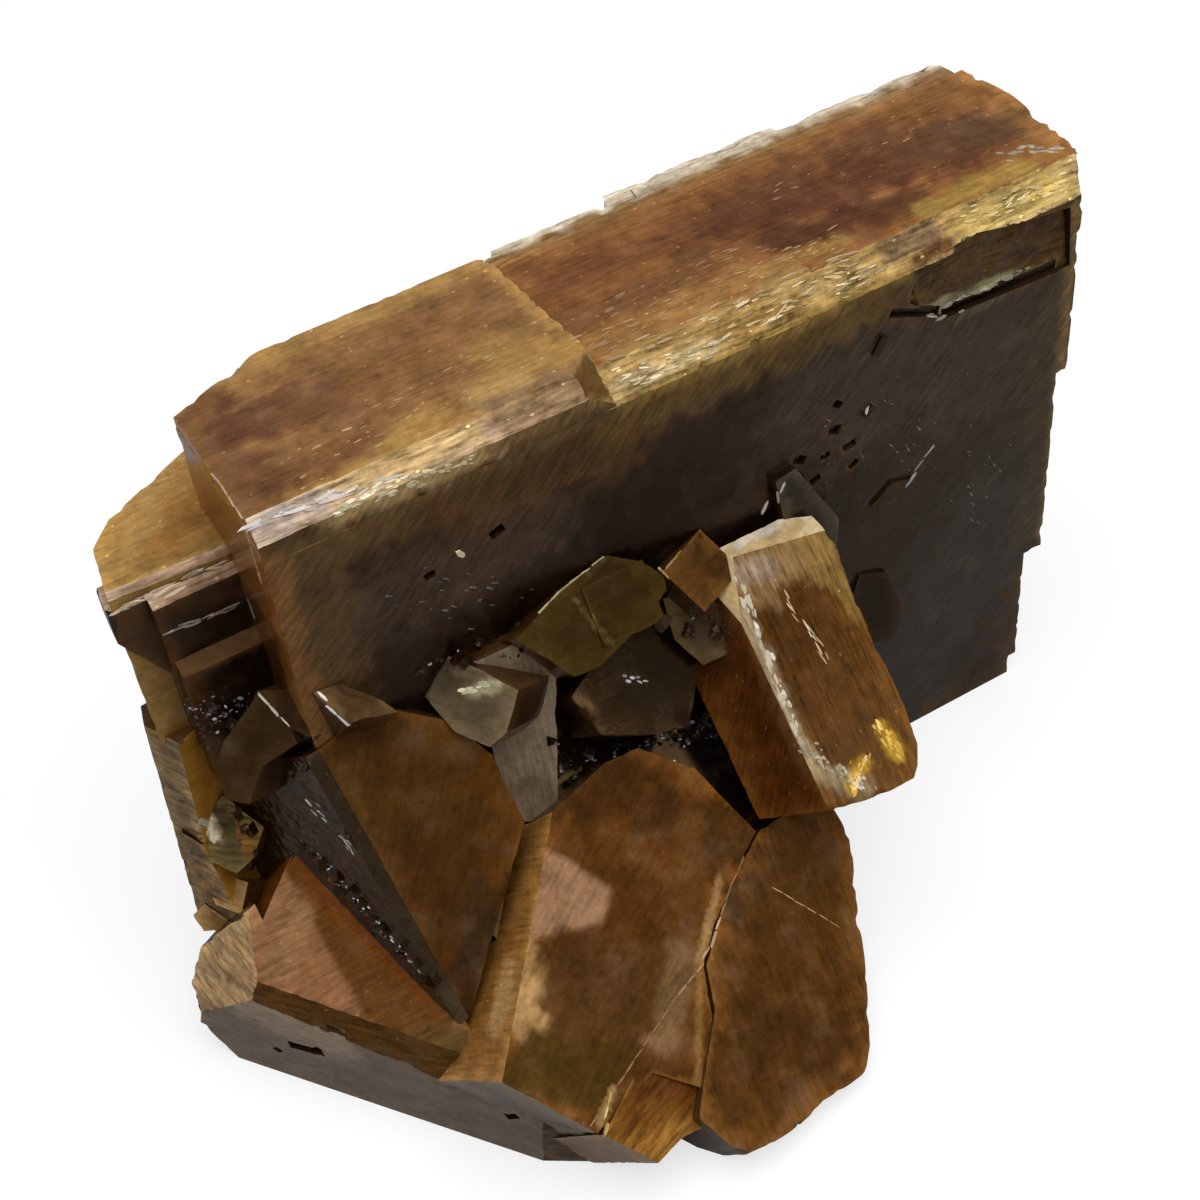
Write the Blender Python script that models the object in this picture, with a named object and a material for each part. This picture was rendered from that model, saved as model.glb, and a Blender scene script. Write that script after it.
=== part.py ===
"""Barite cluster: one joined specimen, a thick upright tablet with a heap of crystals at its foot.

Lengths below are in millimetres. X runs along the front face of the main tablet, Y to its back
and Z up, with zero at the front left foot of the main tablet. The finished solid is moved so that
it rests on Z = 0 with its middle over the origin, and is turned into metres.

A face is given by the compass angle of its outward side (0 along X, 90 along Y), by how far
that side looks up, and by one point on it.
"""
import math
import random

import bmesh
import bpy
from mathutils import Matrix, Vector
from mathutils.bvhtree import BVHTree

MM = 0.001

# Main tablet
MAIN_LENGTH = 92.5
MAIN_THICK = 22.5
MAIN_TOP = 73.2
RAISED_TOP = 74.6
RAISED_LENGTH = 36.2
EDGE_BREAK = 70.2
PLATE_BACK = 26.1
REACH = 160.0
BELOW_GROUND = -6.0

# The cut-off front of the cluster, one plane that several crystals end on
WALL = (217.0, 0, (-3.5, -15.6, 0))

# Drusy growth
DRUSE_SEED = 11
DRUSE_SIZE = (0.45, 1.05)

# Clear brown barite
BROWN = (0.12, 0.062, 0.03, 1.0)
ROUGHNESS = 0.2
REFRACTION = 1.64
CLEARNESS = 0.3

grown = []
cutters = []


def clear_scene():
    for item in list(bpy.data.objects):
        bpy.data.objects.remove(item, do_unlink=True)


def direction(azimuth, elevation):
    a = math.radians(azimuth)
    e = math.radians(elevation)
    return Vector((math.cos(a) * math.cos(e), math.sin(a) * math.cos(e), math.sin(e)))


def add_mesh(name, bm):
    mesh = bpy.data.meshes.new(name)
    bm.to_mesh(mesh)
    bm.free()
    item = bpy.data.objects.new(name, mesh)
    bpy.context.collection.objects.link(item)
    return item


def cut_faces(bm, faces):
    """Cuts away what lies outside each face, and closes the cut."""
    for azimuth, elevation, point in faces:
        geom = bm.verts[:] + bm.edges[:] + bm.faces[:]
        cut = bmesh.ops.bisect_plane(
            bm, geom=geom, plane_co=Vector(point), plane_no=direction(azimuth, elevation),
            clear_outer=True, dist=1e-5)
        rim = [e for e in cut["geom_cut"] if isinstance(e, bmesh.types.BMEdge)]
        rim = [e for e in rim if len(e.link_faces) < 2]
        if rim:
            bmesh.ops.edgenet_fill(bm, edges=rim)
    bmesh.ops.recalc_face_normals(bm, faces=bm.faces[:])


def crystal(name, *faces):
    """A solid bounded by flat faces, each (azimuth, elevation, point on the face)."""
    bm = bmesh.new()
    centre = Vector(faces[0][2])
    bmesh.ops.create_cube(bm, size=2 * REACH, matrix=Matrix.Translation(centre))
    cut_faces(bm, faces)
    item = add_mesh(name, bm)
    grown.append(item)
    return item


def tablet(name, azimuth, elevation, centre, outline, depth, *trims):
    """A flat crystal: an outline on a face, grown straight inward, with more faces cut on it."""
    front = direction(azimuth, elevation)
    across = direction(azimuth + 90.0, 0.0)
    up = front.cross(across)
    place = Vector(centre)
    bm = bmesh.new()
    near = [bm.verts.new(place + across * u + up * v) for u, v in outline]
    far = [bm.verts.new(v.co - front * depth) for v in near]
    bm.faces.new(near)
    bm.faces.new(far[::-1])
    count = len(outline)
    for i in range(count):
        j = (i + 1) % count
        bm.faces.new((near[i], far[i], far[j], near[j]))
    bmesh.ops.recalc_face_normals(bm, faces=bm.faces[:])
    cut_faces(bm, trims)
    item = add_mesh(name, bm)
    grown.append(item)
    return item


def cutter(shape, *details):
    """A solid that is cut away instead of grown on."""
    cutters.append(shape(*details))
    grown.pop()


def rhomb(half_wide, half_tall, skew=0.0):
    return [(half_wide, skew), (0, half_tall), (-half_wide, -skew), (0, -half_tall)]


def rectangle(wide, tall, turn=0.0):
    a = math.radians(turn)
    corners = [(wide / 2, tall / 2), (-wide / 2, tall / 2),
               (-wide / 2, -tall / 2), (wide / 2, -tall / 2)]
    return [(x * math.cos(a) - y * math.sin(a), x * math.sin(a) + y * math.cos(a))
            for x, y in corners]


def main_tablet():
    crystal("main", (270, 0, (0, 0, 0)), (90, 0, (0, MAIN_THICK, 0)), (0, 90, (0, 0, MAIN_TOP)),
            (180, 0, (0, 0, 0)), (340, 0, (MAIN_LENGTH, 0, 0)), (355, 0, (94.3, 5, 0)),
            (10, 0, (95.2, 16, 0)), (113.5, 0, (0, 18.9, 0)), (270, 45, (0, 0, EDGE_BREAK)),
            (0, -90, (0, 0, BELOW_GROUND)))
    crystal("raised", (270, 0, (0, 0.05, 0)), (90, 0, (0, 22.9, 0)), (0, 90, (0, 0, RAISED_TOP)),
            (180, 0, (0.05, 0, 0)), (3.5, 0, (RAISED_LENGTH, 8, 0)), (113.5, 0, (0, 18.7, 0)),
            (270, 42, (0, 0, 72.4)), (312, 42, (34.2, 2.2, 74.2)), (0, -90, (0, 0, 60)))
    crystal("back plate left", (270, 0, (0, 15, 0)), (90, 0, (0, 24.8, 0)), (0, 90, (0, 0, 73.0)),
            (180, 0, (8.5, 0, 0)), (0, 0, (54, 0, 0)), (125, 0, (8.5, 21, 0)),
            (90, 40, (0, 24.8, 72.5)), (0, -90, (0, 0, 8)))
    crystal("back plate right", (270, 0, (0, 15, 0)), (90, 0, (0, PLATE_BACK, 0)),
            (0, 90, (0, 0, 73.0)), (170, 0, (53, 20, 0)), (10, 0, (93.8, 20, 0)),
            (50, 0, (91.5, PLATE_BACK, 0)), (90, 40, (0, PLATE_BACK, 72.5)), (0, -90, (0, 0, 21)))
    crystal("back rim left", (90, 0, (0, 25.4, 0)), (0, 90, (0, 0, 72.9)), (155, 0, (37, 25, 0)),
            (30, 0, (52, 25, 0)), (270, 0, (0, 15, 0)), (90, -35, (0, 25.4, 66)),
            (0, -90, (0, 0, 60)))
    crystal("back rim right", (90, 0, (0, 26.7, 0)), (0, 90, (0, 0, 72.8)),
            (150, 0, (50.8, 26, 0)), (25, 0, (72, 26.5, 0)), (270, 0, (0, 15, 0)),
            (90, -30, (0, 26.7, 62)), (0, -90, (0, 0, 52)))


def main_ends():
    """Steps on the right end, and the small broken ledge below its top corner."""
    cutter(tablet, "end step upper", 0, 0, (110, 11, 20), rectangle(60, 54), 18.8)
    cutter(tablet, "end step lower", 0, 0, (110, 11, -8), rectangle(60, 57), 21.3)
    cutter(tablet, "end step foot", 0, 0, (110, 2, -8), rectangle(20, 22), 22.4)
    cutter(tablet, "broken hollow", 271, 4, (81.3, -1.2, 66.0),
           [(-10.5, 0.5), (-6, -3.3), (10.2, -4.2), (9.6, 3.4), (-2, 5), (-9, 3.5)], 1.85)
    cutter(tablet, "ledge left", 270, 0, (71.5, -1, 64.9), rectangle(7, 1.0, -24), 1.6)
    cutter(tablet, "ledge right", 270, 0, (82.5, -1, 62.6), rectangle(15, 1.2, -3), 1.7)


def rear_tablet():
    crystal("rear", (266.7, 0, (-12.2, 12.7, 0)), (170, 0, (-12.2, 12.7, 0)),
            (137.4, 0, (-11, 19.5, 0)), (116.6, 0, (-8.9, 22.2, 0)), (90, 0, (0, 30, 0)),
            (0, 0, (30, 0, 0)), (0, 90, (0, 0, 63)), (266.7, 40, (-12.2, 12.7, 62.2)),
            (0, -90, (0, 0, 41.5)))
    crystal("rear plate", (268, 0, (-10, 12.4, 0)), (175, 0, (-12.75, 12.4, 0)),
            (90, 0, (0, 17, 0)), (0, 0, (0, 0, 0)), (0, 90, (0, 0, 60.8)),
            (220, 10, (-12.6, 12.6, 58)), (180, -30, (-12.75, 14, 57)), (0, -90, (0, 0, 48.5)))
    crystal("rear root", (268, 0, (-10, 12.9, 0)), (170, 0, (-10.4, 12.9, 0)),
            (130, 0, (-9.6, 18.5, 0)), (90, 0, (0, 29, 0)), (0, 0, (30, 0, 0)),
            (0, 90, (0, 0, 50)), (0, -90, (0, 0, BELOW_GROUND)))
    crystal("rear step", (270, 0, (0, 11, 0)), (184, 0, (-8.8, 11, 0)), (0, 90, (0, 0, 61.2)),
            (270, 45, (0, 11, 60.4)), (0, 0, (6, 0, 0)), (90, 0, (0, 18, 0)), (0, -90, (0, 0, 40)))
    crystal("rear foot", (270, 0, (0, 9.4, 0)), (184, 0, (-8.4, 9.4, 0)), (270, 60, (0, 11, 53)),
            (0, 0, (6, 0, 0)), (90, 0, (0, 18, 0)), (0, -90, (0, 0, 36)))


def left_slabs():
    crystal("left slab", (205, 4, (-12.6, 14.6, 42)), (165, 3, (-12.8, 15.6, 42)),
            (290, 0, (-12.0, 10.5, 30)), (0, 90, (0, 0, 42.4)), (100, 0, (0, 20, 0)),
            (0, 0, (2, 0, 0)), (0, -90, (0, 0, 12)))
    crystal("left lower slab", (210, 8, (-13.4, 10.7, 20)), (165, 0, (-13.5, 12.4, 20)),
            (300, 20, (-11, 9, 22)), (0, 70, (-12, 12, 27)), (60, 0, (-6, 18, 0)),
            (0, -90, (0, 0, 5)))
    tablet("left block", 222, 38, (-5.0, 3.2, 45.8),
           [(-4, -3), (-3.5, -0.5), (0, 5.5), (3.5, 2.5), (4.5, 1), (1, -2), (0, -6), (-2.5, -6)],
           9.0)
    tablet("second block", 285, 55, (3.7, -2.0, 51.0),
           [(-2, 3), (1, 2), (3, -1.5), (3.5, -3.5), (0.5, -2), (-1, -1.5)], 8.0)
    tablet("left block step", 285, 62, (-0.4, 2.7, 48.2),
           [(-1.5, 4), (2, 1.5), (2.5, -0.5), (2, -3), (0, -3.5), (-1.5, -1)], 7.0)
    tablet("left chip", 228, 35, (-9.0, 8.9, 28.6),
           [(-3, 1.5), (-1, 4), (1, 2.5), (3.5, 1), (2.5, -2.5), (0.5, -4.5), (-2.5, -3.5)], 9.0)
    tablet("left small", 205, 45, (-11.5, 8.9, 20.0),
           [(-3, -0.5), (-1, 1.5), (2, 2), (2.5, -1.5), (-1, -2)], 7.0)
    tablet("left tip", 215, 25, (-14.3, 10.2, 16.0),
           [(-2, -0.5), (-0.5, 1.5), (2.5, 0.5), (2, -1), (-0.5, -2)], 5.0)


def front_wedge():
    crystal("wedge", WALL, (225, 45, (-6, 4, 25)), (188, 30, (-13.3, -0.5, 16)),
            (145, 32, (-6, 4, 25)), (8, 15, (-3.4, 3.2, 28.6)), (0, -90, (0, 0, BELOW_GROUND)),
            (0, 0, (14, 0, 0)), (236, -2, (6.4, -27.8, 0)), (90, 0, (0, 14, 0)),
            (136, 10, (-19.0, 9.4, 11.2)), (171.5, -25, (-18.9, 4.2, 3.4)),
            (221.6, 25, (-5.2, -10.9, 15.0)))
    crystal("wedge lobe", (188, 30, (-13.5, -0.5, 16.05)), (120, 40, (-14.1, 7.3, 16.5)),
            (105, 5, (-16.5, 8.9, 12.5)), (150, -20, (-18.8, 7.8, 8.6)), (180, -40, (-19.5, 5.6, 7)),
            (0, 0, (-10, 0, 0)), (225, 45, (-6, 4, 25)), (221.6, 25, (-5.2, -10.9, 15.0)), WALL,
            (0, -90, (0, 0, BELOW_GROUND)))
    crystal("wedge crest", (212, 25, (-5.6, 4.2, 25.4)), (145, 32, (-4, 4.2, 27)),
            (8, 15, (-3.2, 3.2, 28.7)), (300, 0, (4, -19, 0)), WALL, (0, -90, (0, 0, 5)))
    crystal("wedge back", (145, 32, (-8.2, 4.6, 21.5)), (200, 20, (-14.5, 8, 14)),
            (225, 48, (-10, 3.5, 20)), (60, 30, (-6, 8, 20)), (325, 0, (-3, -3, 0)), WALL,
            (171.5, -25, (-18.3, 4.2, 3.2)), (136, 10, (-18.2, 9.0, 11.2)),
            (0, -90, (0, 0, BELOW_GROUND)))


def middle_tablet():
    tablet("middle", 264, 31, (5.5, -7.9, 33.2),
           [(-20, 10), (-7, 13.5), (-0.5, 15.5), (2.5, 14.5), (7, 11.5), (10, 6.5), (11, -1.5),
            (-0.5, -18.5), (-4, -22), (-20, -22)], 24.0, (201, 6, (2.6, -17.5, 17)),
           (230.9, 22, (1.15, -8.4, 30.8)))


def front_tablets():
    tablet("front", 284, 49, (19.7, -21.3, 20.3),
           [(-4, 17), (2, 15.5), (11, 16), (15, 15), (19, 9.5), (20.5, 0), (10.5, -4.5),
            (6.5, -7), (4, -11.5), (0.5, -15.5), (-1, -17.3), (-5, -11.8), (-13.2, -12.4),
            (-16, -13.5), (-24, -16), (-24, -2)],
           18.0, (158, 39, (19, -10, 30)), (215.5, -13, (1.2, -26.1, 20.1)))
    tablet("front foot", 292, 45, (15.5, -33.7, 10.4),
           [(-6.5, 2.5), (2.5, 4.5), (5.5, -2.3), (3.7, -5.1), (2.6, -5.3), (1, -4.5),
            (-1.4, -4.1), (-3.5, -3.9), (-5.5, -2.4), (-7, -1)],
           14.0, (219, -12.5, (9.15, -34.05, 12.25)))
    tablet("outer", 288, 50, (35.5, -28.5, 10.8),
           [(8.6, 13.6), (15, 12.1), (17.4, 10.1), (17, 7.6), (16.2, 5.1), (12, 0), (8.6, -4.6),
            (5.6, -8.1), (3, -11.1), (0, -13.1), (-2.5, -12.6), (-6, -11.6), (-9.6, -11.6),
            (-13.1, -10.6), (-16.1, -9.6), (-17.1, -7.5), (-18, -3), (-14, 0), (-9, 3.5),
            (-6.5, 7.5), (-2, 10), (1, 11.6)], 16.0)


def leaning_prism():
    tablet("prism", 270, 46.4, (51.0, -12.2, 38.2),
           [(-12, 14), (2.5, 14), (6, 12.8), (6.6, 9), (6, 4), (6, -9), (5.5, -13.5),
            (4.5, -15.5), (3.5, -16.5), (0.5, -16.5), (-3.5, -16), (-5.5, -15.5), (-12, -14)],
           9.0, (198, 18, (44.4, -12.7, 37.8)), (290, 76, (50, -3.6, 46.5)),
           (215, 45, (45.6, -5.5, 44.7)))


def valley_crystals():
    tablet("olive", 280, 40, (29.3, -3.8, 48.8),
           [(-8, 2.5), (-1, 4), (5, 4.5), (8, 2), (9.5, -0.5), (9, -2), (4.5, -3.5),
            (-1.5, -4.5), (-4.5, -4), (-6, -1)], 9.0)
    tablet("olive step", 280, 40, (33.3, -3.6, 48.5), rectangle(7.5, 6.5, -8), 6.0)
    tablet("cube", 285, 45, (42.9, -3.1, 47.2),
           [(2.5, 3.5), (4, -2.5), (-2.5, -3.5), (-4, 2.5)], 9.0)
    tablet("under cube", 250, 30, (40.8, -4.8, 41.0),
           [(-3, 4), (0, 4.5), (3.5, 1.5), (3.5, -3), (0, -4), (-2.5, -0.5)], 9.0)
    tablet("blade", 262, 12, (20.5, -4.5, 36.8),
           [(-4, 11.5), (0.5, 12), (3.5, 10), (4.5, 8.5), (1, -11), (-2.5, -10), (-4, -5.5)], 8.0)
    tablet("clear", 215, 35, (14.9, -3.3, 45.6),
           [(-5, -0.5), (-3.5, 4), (1, 3.5), (5.5, 2.5), (5, -2), (3.5, -4), (-0.5, -3.5)], 8.0)
    tablet("shaded", 275, 45, (33.2, -5.3, 37.0),
           [(-7, 3), (-0.5, 6), (5.5, 7.5), (7.5, -0.5), (3, -6), (-1.5, -4.5), (-6, -2)], 9.0)
    crystal("core", (275, 58, (36, -9, 22)), (205, 15, (2, 0, 16)), (0, 0, (52, 0, 0)),
            (282, 12, (20, -22, 0)), (90, 0, (0, 10, 0)), (0, -90, (0, 0, BELOW_GROUND)))
    tablet("thin plate", 270, 5, (57.0, -1.5, 45.1),
           [(-3.5, 7), (-1, 7.5), (4, -2), (3, -7.5), (-2, -7)], 3.0)
    tablet("dark hexagon", 270, 10, (66.1, -1.2, 25.9),
           [(-3, 2.5), (-1.5, 5.5), (2, 4), (3.5, -1.5), (2, -6), (-2.5, -4)], 3.0)


def face_marks():
    """Small raised plates and small pits on the broad front face and on the cut-off front."""
    tablet("line crystal", 270, 3, (68.8, -0.4, 41.6), rhomb(2.9, 1.5, 0.6), 2.0)
    tablet("pale chip", 270, 0, (66.9, -0.4, 63.0), rectangle(2.2, 0.9, 60), 2.0)
    tablet("bright chip", 270, 0, (65.7, -0.35, 54.9), rectangle(1.6, 0.6, 40), 2.0)
    for x, z, wide, turn in ((61.5, 54.3, 1.4, -25), (63.4, 51.2, 1.5, 10), (57.1, 52.5, 1.6, -30),
                             (59.0, 48.7, 1.3, 20), (61.9, 57.6, 1.2, -40), (63.9, 48.3, 1.2, 35),
                             (60.3, 51.4, 1.1, -10), (22.6, 61.8, 1.6, 20), (15.1, 60.3, 1.2, 10)):
        cutter(tablet, "pit", 270, 0, (x, -1, z), rectangle(wide, 0.7 * wide, turn), 1.55)
    cutter(tablet, "wall pit", WALL[0], 0, (-11.45, -5.25, 7.4), rectangle(4.4, 1.3, 6), 1.6)
    cutter(tablet, "wall pit small", WALL[0], 0, (-14.0, -2.1, 5.0), rhomb(0.7, 0.6), 1.5)
    cutter(tablet, "wall pit low", WALL[0], 0, (3.0, -25.0, 7.6), rectangle(1.8, 0.9, 35), 1.6)


def back_crystals():
    """The side that the main tablet hides: thin parallel plates and a few crystals at the foot."""
    crystal("back low plate", (90, 0, (0, 27.2, 0)), (175, 0, (30, 26, 0)), (8, 0, (74, 26, 0)),
            (90, 55, (0, 27.2, 33)), (40, 20, (70, 27, 26)), (270, 0, (0, 15, 0)),
            (0, -90, (0, 0, BELOW_GROUND)))
    tablet("back leaning", 98, 36, (22, 31, 17), rhomb(10, 11, 2), 16.0)
    tablet("back upright", 72, 14, (43, 31.5, 15), rhomb(7, 13, -2), 12.0)
    tablet("back low", 118, 44, (62, 30, 9), rhomb(8, 7, 1), 14.0)
    tablet("back cube", 80, 28, (78, 27.5, 10), rectangle(8, 7, 20), 9.0)


def join_all(base, rest, operation):
    """Joins crystals where they overlap, or cuts pits and steps."""
    bm = bmesh.new()
    for item in rest:
        bm.from_mesh(item.data)
        bpy.data.objects.remove(item, do_unlink=True)
    others = add_mesh("others", bm)
    join = base.modifiers.new("join", "BOOLEAN")
    join.operation = operation
    join.solver = "EXACT"
    join.use_self = True
    join.object = others
    graph = bpy.context.evaluated_depsgraph_get()
    solid = bpy.data.meshes.new_from_object(base.evaluated_get(graph))
    base.modifiers.clear()
    base.data = solid
    bpy.data.objects.remove(others, do_unlink=True)


def fill_pockets(bm):
    """Keeps the outer skin; closed pockets between crystals become solid."""
    left = set(bm.verts)
    shells = []
    while left:
        shell = set()
        edge = [left.pop()]
        while edge:
            vert = edge.pop()
            shell.add(vert)
            for link in vert.link_edges:
                other = link.other_vert(vert)
                if other in left:
                    left.discard(other)
                    edge.append(other)
        shells.append(shell)
    shells.sort(key=len)
    loose = [vert for shell in shells[:-1] for vert in shell]
    bmesh.ops.delete(bm, geom=loose, context="VERTS")


def druse_crystal(tree, target, rng):
    """One small crystal standing on the surface nearest to a point of a seam."""
    spot, normal, _, _ = tree.find_nearest(target)
    size = rng.uniform(*DRUSE_SIZE)
    azimuth = math.degrees(math.atan2(normal.y, normal.x)) + rng.uniform(-50, 50)
    elevation = math.degrees(math.asin(max(-1, min(1, normal.z)))) + rng.uniform(-30, 30)
    outline = rhomb(size * rng.uniform(0.6, 1.0), size * rng.uniform(0.7, 1.2))
    centre = spot + normal * size * rng.uniform(0.15, 0.55)
    tablet("druse", azimuth, max(-80, min(80, elevation)), centre, outline, 2.2 * size)


def druse(base):
    """Small crystals along the seams where the large ones meet."""
    tree = BVHTree.FromPolygons([v.co for v in base.data.vertices],
                                [p.vertices for p in base.data.polygons])
    rng = random.Random(DRUSE_SEED)
    seams = (((-6, 9, 46), (-3, 9, 40), 12, 2.0), ((-2, 3, 30), (3, -14, 20), 20, 0.8),
             ((24, -4, 35), (24.5, -3, 27), 14, 0.9), ((26, -2.5, 26.8), (42, -4.5, 25), 22, 1.5),
             ((12, -1, 49), (24, -1, 47), 6, 1.0), ((-8, 8, 33), (-9, 7, 24), 8, 1.2),
             ((36, -6, 45), (44, -6, 40), 8, 1.0), ((44, -8, 25), (46, -9, 21), 6, 1.5))
    for start, end, count, scatter in seams:
        for i in range(count):
            along = (i + 0.5) / count
            target = Vector(start).lerp(Vector(end), along)
            target += Vector([rng.uniform(-scatter, scatter) for _ in range(3)])
            druse_crystal(tree, target, rng)


def place(base):
    """Cuts the foot flat, fills closed pockets, and moves the solid over the origin in metres."""
    bm = bmesh.new()
    bm.from_mesh(base.data)
    cut_faces(bm, [(0, -90, (0, 0, 0))])
    fill_pockets(bm)
    low = [min(v.co[i] for v in bm.verts) for i in range(3)]
    high = [max(v.co[i] for v in bm.verts) for i in range(3)]
    middle = Vector(((low[0] + high[0]) / 2, (low[1] + high[1]) / 2, low[2]))
    for v in bm.verts:
        v.co = (v.co - middle) * MM
    bm.to_mesh(base.data)
    bm.free()


def give_material(base):
    material = bpy.data.materials.new("brown_barite")
    material.use_nodes = True
    surface = material.node_tree.nodes["Principled BSDF"]
    surface.inputs["Base Color"].default_value = BROWN
    surface.inputs["Roughness"].default_value = ROUGHNESS
    surface.inputs["IOR"].default_value = REFRACTION
    surface.inputs["Transmission Weight"].default_value = CLEARNESS
    base.data.materials.clear()
    base.data.materials.append(material)
    for face in base.data.polygons:
        face.material_index = 0


def main():
    clear_scene()
    main_tablet()
    main_ends()
    rear_tablet()
    left_slabs()
    front_wedge()
    middle_tablet()
    front_tablets()
    leaning_prism()
    valley_crystals()
    face_marks()
    back_crystals()
    base = grown.pop(0)
    join_all(base, grown, "UNION")
    grown.clear()
    join_all(base, cutters, "DIFFERENCE")
    druse(base)
    join_all(base, grown, "UNION")
    place(base)
    give_material(base)
    base.name = "barite_cluster"
    base.data.name = "barite_cluster"


main()
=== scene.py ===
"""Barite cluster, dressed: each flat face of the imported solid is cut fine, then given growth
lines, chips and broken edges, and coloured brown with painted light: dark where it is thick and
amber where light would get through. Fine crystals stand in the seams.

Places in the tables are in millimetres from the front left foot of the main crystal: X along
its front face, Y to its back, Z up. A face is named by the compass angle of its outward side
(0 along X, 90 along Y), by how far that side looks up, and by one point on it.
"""

import math

import bmesh
import bpy
import numpy as np
from mathutils import Matrix, Vector, noise
from mathutils.bvhtree import BVHTree
from mathutils.geometry import delaunay_2d_cdt


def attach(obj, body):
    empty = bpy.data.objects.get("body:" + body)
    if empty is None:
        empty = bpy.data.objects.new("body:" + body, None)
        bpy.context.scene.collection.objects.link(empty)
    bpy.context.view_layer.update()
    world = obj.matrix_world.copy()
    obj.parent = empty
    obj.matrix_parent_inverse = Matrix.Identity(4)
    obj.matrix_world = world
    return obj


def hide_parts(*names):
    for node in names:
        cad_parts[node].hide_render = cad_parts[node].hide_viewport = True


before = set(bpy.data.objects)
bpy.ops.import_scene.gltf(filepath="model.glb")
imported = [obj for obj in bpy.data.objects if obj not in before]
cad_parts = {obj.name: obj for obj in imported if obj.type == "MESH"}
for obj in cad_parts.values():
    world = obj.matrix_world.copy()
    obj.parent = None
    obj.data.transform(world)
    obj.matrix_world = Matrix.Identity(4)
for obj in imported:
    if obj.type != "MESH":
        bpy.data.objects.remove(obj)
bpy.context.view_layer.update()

MM = 0.001
# Where the main crystal's front left foot stands, measured from the cluster's own origin
FOOT = Vector((-37.8041, 1.5333, 0.0))

# The photograph's camera: focal length in pixels of its 1200, turn, tilt and roll, and place
FOCAL = 2047.0
FRAME_PIXELS = 1200.0
SENSOR = 36.0
CAMERA_TURN = 25.4
CAMERA_TILT = 45.9
CAMERA_ROLL = -7.1
CAMERA_PLACE = (-29.8, -131.1, 196.2)

# Points closer than this are one, and faces that bend less than this (degrees) are one
MERGED = 0.0005
FLAT_WITHIN = 0.4
# A face of the solid is a row of the table when its side turns so little from the row's (as a
# cosine) and its middle lies so near the row's plane
SAME_SIDE = 0.9997
SAME_PLANE = 0.14
# Faces under this many square millimetres are specks, and the back begins here
SPECK_AREA = 3.0
BACK_FROM = 21.0
BACK_SIDE_FROM = 15.0
# Spacing of the fine cuts on a face, and on the hidden foot
FINE = 1.0
HIDDEN = 5.0
GRID_SEED = 5
# The foot stays flat up to this height, and no chip goes deeper than this
FOOT_HEIGHT = 0.02
DEEPEST_CHIP = 0.9
# Light is down to a third after this way through the crystal, and is traced from just inside
LIGHT_DEPTH = 4.0
JUST_INSIDE = 0.03
# How brightly thin places show the light, what is lost of it, and how uneven it and the tone are
GLOW_GAIN = 1.4
GLOW_LOSS = 0.1
UNEVEN_GLOW = 0.2
UNEVEN_TONE = 0.18
# Faces that turn less than this from each other (as a cosine) shade as one
SHADED_AS_ONE = 0.985

# Patterns on a face: growth lines half a millimetre apart, shreds of a break, and cells that may
# hold a pale scale, to the millimetre; and how many times longer than wide each of them is
LINES_PER_MM = 2.0
SHREDS_PER_MM = 1.5
CELLS_PER_MM = 0.9
LINE_STRETCH = 0.12
SHRED_STRETCH = 0.16
CELL_STRETCH = 0.55
# Patterns in the crystal: veils about four millimetres wide, and grit, to the metre
VEILS_PER_METRE = 230.0
GRIT_PER_METRE = 1400.0
FIBRES_PER_METRE = 900.0

# Barite's refraction, and the sheen that its faces still have under a soft light
REFRACTION = 1.64
SHEEN_LEVEL = 0.28

# Random draws of the seam crystals and of the scales, and of how each of them leans
DRUSE_SEED = 21
SCALE_SEED = 34
LEAN_SEED = 11
# Thickness of a scale, and length of one piece of a bright edge
SCALE_THICK = 0.12
EDGE_PIECE = 1.6

# The studio: half the paper's side in metres, and how much it lifts to white for the camera alone
PAPER_HALF = 3.0
PAPER_LIFT = 0.66
ROOM_LIGHT = 0.42


def linear(code, alpha=1.0):
    """A colour given as sRGB hex, as the linear values a shader takes."""
    parts = [int(code[i:i + 2], 16) / 255 for i in (1, 3, 5)]
    parts = [c / 12.92 if c <= 0.04045 else ((c + 0.055) / 1.055) ** 2.4 for c in parts]
    return (*parts, alpha)


def direction(azimuth, elevation):
    a = math.radians(azimuth)
    e = math.radians(elevation)
    return Vector((math.cos(a) * math.cos(e), math.sin(a) * math.cos(e), math.sin(e)))


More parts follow.
